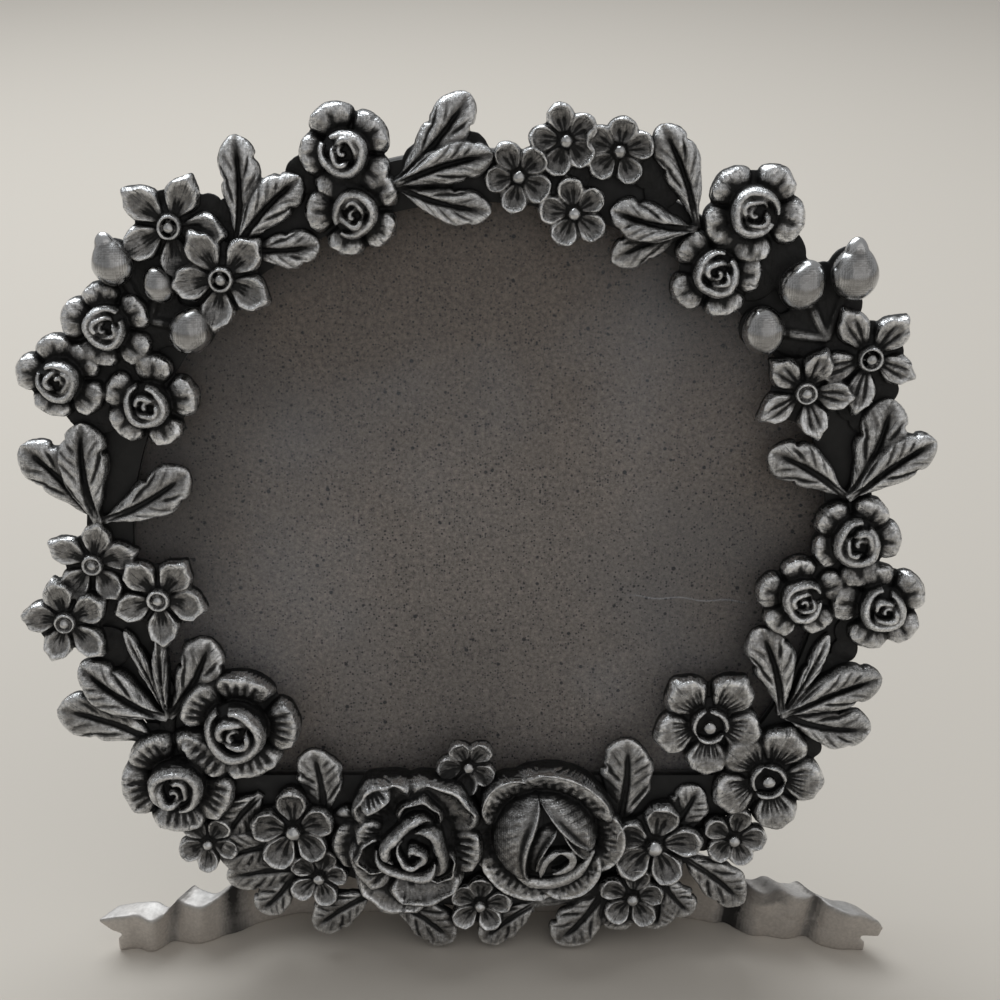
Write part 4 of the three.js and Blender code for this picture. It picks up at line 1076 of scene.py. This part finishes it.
def chipboardMaterial():
    material, tree, shader = newMaterial("greyChipboard")
    place = objectPlace(tree, -1500, 0)
    fibre = noise(tree, -1200, 200, place, 2600, 5, 0.8)
    cloud = noise(tree, -1200, 0, place, 45, 3)
    tint = noise(tree, -1200, -200, place, 28, 2)
    speck = None
    for k, (scale, rarity, radius) in enumerate(cardLook["specks"]):
        row = -400 - 300 * k
        cells = newNode(tree, "ShaderNodeTexVoronoi", -1200, row)
        feed(tree, (cells.inputs["Vector"], cells.inputs["Scale"]), (place, scale))
        pick = newNode(tree, "ShaderNodeSeparateColor", -1000, row - 150)
        tree.links.new(cells.outputs["Color"], pick.inputs["Color"])
        reach = remap(tree, -800, row - 150, pick.outputs["Red"], rarity, 1.0, 0.0, radius)
        inside = maths(tree, -600, row - 50, "SUBTRACT", reach, cells.outputs["Distance"])
        found = remap(tree, -400, row - 50, inside, -0.05, 0.08)
        speck = found if speck is None else maths(tree, -200, -450, "MAXIMUM", speck, found)
    fibres = remap(tree, -900, 200, fibre, 0.3, 0.75)
    colour = mixColour(tree, -600, 100, fibres, cardLook["board"], cardLook["pale"])
    colour = mixColour(tree, -400, 0, remap(tree, -900, -200, tint, 0.5, 0.72), colour, cardLook["cool"])
    shade = remap(tree, -900, 0, cloud, 0.3, 0.7, 0.8, 1.12)
    colour = mixColour(tree, -250, 100, 1.0, colour, shade, "MULTIPLY")
    outward = vectorMaths(tree, -900, 450, "DISTANCE", place, ringCentre + Vector(cardLook["shadeCentre"]))
    paintedShade = remap(tree, -600, 450, outward, cardLook["shadeFrom"], cardLook["shadeTo"])    # painted shade, darker towards the rim
    colour = mixColour(tree, -180, 300, paintedShade, colour, cardLook["rim"], "MULTIPLY")
    colour = mixColour(tree, -100, 0, speck, colour, cardLook["speck"])
    tree.links.new(colour, shader.inputs["Base Color"])
    shader.inputs["Roughness"].default_value = cardLook["roughness"]
    bumpFrom(tree, shader, fibre, cardLook["bump"], boardBump)
    return material


glazingLook = {"tint": (0.8, 0.88, 1.0, 1), "roughness": 0.06, "haze": 0.022, "smear": 0.05, "mark": 0.2,
               "scratch": {"start": 0.0142, "end": 0.0285, "fade": 0.003, "level": -0.00426, "slope": -0.052,
                           "wave": 0.00013, "turns": 1300, "width": 0.00011, "depth": (-0.002, -0.0017)}}


def scratchMask(tree, place):    # along x at a level up the window, in metres
    form = glazingLook["scratch"]
    inward = vectorMaths(tree, -1500, -300, "SUBTRACT", place, ringCentre)
    upward = vectorMaths(tree, -1300, -300, "DOT_PRODUCT", inward, ringUp)
    split = newNode(tree, "ShaderNodeSeparateXYZ", -1300, -500)
    tree.links.new(inward, split.inputs[0])
    along = split.outputs["X"]
    sway = maths(tree, -900, -500, "SINE", maths(tree, -1100, -500, "MULTIPLY", along, form["turns"]))
    fall = maths(tree, -900, -350, "MULTIPLY_ADD", along, form["slope"], form["level"])
    level = maths(tree, -700, -500, "MULTIPLY_ADD", sway, form["wave"], fall)
    off = maths(tree, -550, -400, "ABSOLUTE", maths(tree, -600, -400, "SUBTRACT", upward, level))
    line = remap(tree, -450, -400, off, 0, form["width"], 1, 0)
    begun = remap(tree, -900, -700, along, form["start"], form["start"] + form["fade"])
    ended = remap(tree, -900, -900, along, form["end"] - form["fade"], form["end"], 1, 0)
    depth = vectorMaths(tree, -1300, -1000, "DOT_PRODUCT", inward, ringFront)
    outer = remap(tree, -900, -1100, depth, *form["depth"])    # on the outer face alone
    span = maths(tree, -600, -800, "MULTIPLY", maths(tree, -700, -900, "MULTIPLY", begun, ended), outer)
    return maths(tree, -350, -500, "MULTIPLY", line, span)


def glazingMaterial():
    material, tree, shader = newMaterial("clearGlazing")
    place = objectPlace(tree, -1700, 0)
    smear = remap(tree, -400, 0, noise(tree, -650, 0, place, 38, 2), 0.5, 0.75, 0.0, glazingLook["smear"])
    mark = maths(tree, -250, -200, "MULTIPLY", scratchMask(tree, place), glazingLook["mark"])
    alpha = maths(tree, -200, 0, "ADD", maths(tree, -250, 0, "ADD", smear, mark), glazingLook["haze"])
    tree.links.new(alpha, shader.inputs["Alpha"])
    shader.inputs["Base Color"].default_value = glazingLook["tint"]
    shader.inputs["Roughness"].default_value = glazingLook["roughness"]
    return material


plainFinishes = {
    "blackBoard": {"colour": (0.03, 0.028, 0.027, 1), "metallic": 0.0, "roughness": 0.75, "grain": 900,
                   "bump": 0.3},
    "platedSteel": {"colour": (0.52, 0.51, 0.49, 1), "metallic": 1.0, "roughness": 0.32, "grain": 1400,
                    "bump": 0.05},
}


def plainMaterial(name, finish):
    material, tree, shader = newMaterial(name)
    shader.inputs["Metallic"].default_value = finish["metallic"]
    grain = noise(tree, -650, 0, objectPlace(tree, -900, 0), finish["grain"], 4)
    shade = remap(tree, -400, 150, grain, 0.3, 0.7, 0.85, 1.1)
    colour = mixColour(tree, -200, 150, 1.0, finish["colour"], shade, "MULTIPLY")
    tree.links.new(colour, shader.inputs["Base Color"])
    rough = remap(tree, -400, -100, grain, 0.3, 0.7, finish["roughness"] - 0.06, finish["roughness"] + 0.06)
    tree.links.new(rough, shader.inputs["Roughness"])
    bumpFrom(tree, shader, grain, finish["bump"], boardBump)
    return material


materials["greyChipboard"] = chipboardMaterial()
materials["clearGlazing"] = glazingMaterial()
for name, finish in plainFinishes.items():
    materials[name] = plainMaterial(name, finish)
for node, form in sheetForms.items():
    dress(roundSheet(node, form), form["finish"], node, "frame")
print("glazing, card and back panel cut")


# the ribbon foot: a band on a wavy plan line with a fishtail at each end, in millimetres
ribbonForm = {
    "plan": ((-43, -7.9), (-40, -7.6), (-37.5, -7.2), (-35.5, -7.7), (-33, -6.4), (-30, -6.3), (-27.5, -5.4),
             (-25, -3.4), (-21, -1.8), (-15, -1.5), (0, -1.5), (15, -1.5), (21, -1.9), (25, -3.0), (29, -4.6),
             (32, -5.4), (35, -5.6), (37.5, -6.9), (41, -7.5), (45, -8.2)),
    "top": ((-41.7, 4.4), (-38, 4.9), (-34.6, 4.6), (-33, 5.5), (-30, 5.5), (-28.5, 5.9), (-26.5, 6.4),
            (-23, 7.2), (-17, 8.4), (-8, 9.4), (0, 9.6), (10, 9.4), (20, 8.7), (25, 8.2), (27.5, 7.5),
            (29.8, 6.5), (31.2, 6.5), (32.7, 6.9), (34.2, 6.4), (36, 6.0), (39, 5.6), (41.5, 5.1),
            (43.8, 4.2)),
    "leftTail": ((0, -39.7), (0.36, -39.7), (0.48, -39.0), (0.6, -40.2), (1, -41.7)),
    "rightTail": ((0, 42.2), (0.28, 42.3), (0.38, 41.0), (0.48, 43.5), (0.85, 44.0), (1, 43.3)),
    # the wreath's painted shadows on the ribbon as (place, width, share of the height where they begin)
    "wreathShadows": ((-26.8, 1.3, 0), (28.3, 1.7, 0), (32.0, 1.6, 0.8)),
    "folds": ((-38.5, 0.3, 1.0), (-35.9, 0.7, 1.0), (-33.6, -1.1, 0.7), (-30.8, 0.7, 1.1), (-27.6, -0.7, 0.9),
              (27.8, -1.2, 0.9), (30.6, 0.8, 1.1), (34.0, 0.7, 1.1), (36.4, -1.3, 0.7), (39.6, 0.6, 1.3)),
    "thickness": 2.5, "slant": 0.955, "columns": 260, "rows": 30, "voxel": 0.25, "rounding": 7, "satin": 0.8,
}


def ribbonFoot():
    _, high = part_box("ribbon_foot")
    planX, planY = np.array(ribbonForm["plan"]).T
    topX, topZ = np.array(ribbonForm["top"]).T
    deselectAll()
    bpy.ops.mesh.primitive_grid_add(x_subdivisions=ribbonForm["columns"], y_subdivisions=ribbonForm["rows"],
                                    size=2)
    ribbon = bpy.context.object
    flat = readPoints(ribbon)
    share, up = (flat[:, 0] + 1) / 2, (flat[:, 1] + 1) / 2
    left = np.interp(up, *np.array(ribbonForm["leftTail"]).T)
    right = np.interp(up, *np.array(ribbonForm["rightTail"]).T)
    x = left + (right - left) * share
    back = high.y / mm - ribbonForm["thickness"]
    y = np.interp(x, planX, planY) - np.interp(0, planX, planY) + back
    valleyPatinaAndShadow = np.zeros_like(x)
    for place, forward, width in ribbonForm["folds"]:    # forward bulges and the valleys beside them
        fold = ridge(x - place - 0.8 * (up - 0.5), width) * (0.6 + 0.4 * up)
        y = y - forward * fold
        valleyPatinaAndShadow = valleyPatinaAndShadow + np.maximum(-forward, 0) * fold
    for place, width, above in ribbonForm["wreathShadows"]:    # painted shadow that the wreath casts on the ribbon, darkening it there and keeping the painted top shade off it
        valleyPatinaAndShadow = valleyPatinaAndShadow + ridge(x - place, width) * smoothStep((up - above) * 6 + 1)
    # recess: patina in the valleys of the folds, the painted shadow of the wreath, and a little darker
    # towards the bottom
    writeValues(ribbon, "recess", 0.7 * valleyPatinaAndShadow + 0.12 * smoothStep((0.3 - up) * 4))
    # a painted shade along the ribbon's top edge, darker through the satin finish's colour and kept off the
    # painted shadow
    writeValues(ribbon, "rubAndTopShade", 0.7 * smoothStep((up - 0.84) * 7) * (1 - np.clip(valleyPatinaAndShadow, 0, 1)))
    writeValues(ribbon, "satin", np.full(len(x), ribbonForm["satin"]))
    z = np.interp(x, topX, topZ) * up
    writePoints(ribbon, np.column_stack([x + ringCentre.x / mm, y, z]))
    applyModifier(ribbon, "SMOOTH", factor=0.5, iterations=3, use_z=False)
    openMesh(ribbon)
    bpy.ops.mesh.extrude_region_move(TRANSFORM_OT_translate={"value": (0, ribbonForm["thickness"], 0)})
    bpy.ops.transform.resize(value=(ribbonForm["slant"], 1, 1), center_override=(ringCentre.x / mm, 0, 0))
    bpy.ops.mesh.select_all(action="SELECT")
    bpy.ops.mesh.normals_make_consistent(inside=False)
    closeMesh()
    fuse(ribbon, ribbonForm["voxel"])
    applyModifier(ribbon, "SMOOTH", factor=0.5, iterations=ribbonForm["rounding"])
    choose(ribbon)
    bpy.ops.object.shade_smooth()
    ribbon.name = "ribbonFoot"
    return setInPlace(ribbon, Matrix.Scale(mm, 4))


dress(ribbonFoot(), "satinPewter", "ribbon_foot", "frame")
print("ribbon foot folded")


# the steel and the leg behind: each solid's copy is merged and its edges broken, by a bevel in millimetres
hardware = {
    "hinge_bracket": ("platedSteel", "frame", "plated_steel", 0.12),
    "hinge_pin": ("platedSteel", "frame", "plated_steel", 0.08),
    "bracket_rivet_left": ("platedSteel", "frame", "plated_steel", 0.08),
    "bracket_rivet_right": ("platedSteel", "frame", "plated_steel", 0.08),
    "easel_leg": ("satinPewter", "easel", "satin_pewter", 0.18),
}
for side in ("top", "left", "right"):
    hardware["turn_button_" + side] = ("platedSteel", "turn_button_" + side, "plated_steel", 0.1)
    hardware["button_rivet_" + side] = ("platedSteel", "frame", "plated_steel", 0.08)


def brokenEdges(node, bevel):
    copy = bpy.data.objects.new(node + "_finished", frame["nodes"][node].data.copy())
    bpy.context.collection.objects.link(copy)
    openMesh(copy)
    bpy.ops.mesh.remove_doubles(threshold=0.000001)
    bpy.ops.mesh.dissolve_limited(angle_limit=math.radians(1))
    closeMesh()
    applyModifier(copy, "BEVEL", width=bevel * mm, segments=2, limit_method="ANGLE",
                  angle_limit=math.radians(48))
    choose(copy)
    bpy.ops.object.shade_smooth_by_angle(angle=math.radians(50))
    return copy


for node, (material, body, slotName, bevel) in hardware.items():
    piece = brokenEdges(node, bevel)
    if material == "satinPewter":
        writeValues(piece, "satin", np.full(len(piece.data.vertices), ribbonForm["satin"]))
    dress(piece, material, node, body)
print("steel and leg finished")


# floor and light
stageLook = {"floor": (0.56, 0.52, 0.465, 1), "floorSize": 6, "roughness": 0.9, "world": 0.33}
lampForms = {
    "topSoftbox": {"place": (-0.12, 0.28, 0.55), "power": 3.6, "size": 0.5, "colour": (0.93, 0.97, 1.0)},
    "frontFill": {"place": (0.35, -0.6, 0.35), "power": 1.0, "size": 1.1, "colour": (1.0, 0.96, 0.92)},
}
deselectAll()
bpy.ops.mesh.primitive_plane_add(size=stageLook["floorSize"])
floor = bpy.context.object
floor.name = "floor"
floorMaterial, _, floorShader = newMaterial("paleFloor")
floorShader.inputs["Base Color"].default_value = stageLook["floor"]
floorShader.inputs["Roughness"].default_value = stageLook["roughness"]
floor.data.materials.append(floorMaterial)
floor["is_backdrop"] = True
world = bpy.data.worlds.new("softStudio")
world.use_nodes = True
bpy.context.scene.world = world
backgroundNode = world.node_tree.nodes["Background"]
backgroundNode.inputs["Color"].default_value = (1, 1, 1, 1)
backgroundNode.inputs["Strength"].default_value = stageLook["world"]
for name, form in lampForms.items():
    deselectAll()
    bpy.ops.object.light_add(type="AREA", location=form["place"])
    lamp = bpy.context.object
    lamp.name = name
    lamp.data.energy = form["power"]
    lamp.data.size = form["size"]
    lamp.data.color = form["colour"]
    lamp.rotation_euler = (ringCentre - Vector(form["place"])).to_track_quat("-Z", "Y").to_euler()
print("stage lit")

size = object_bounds()
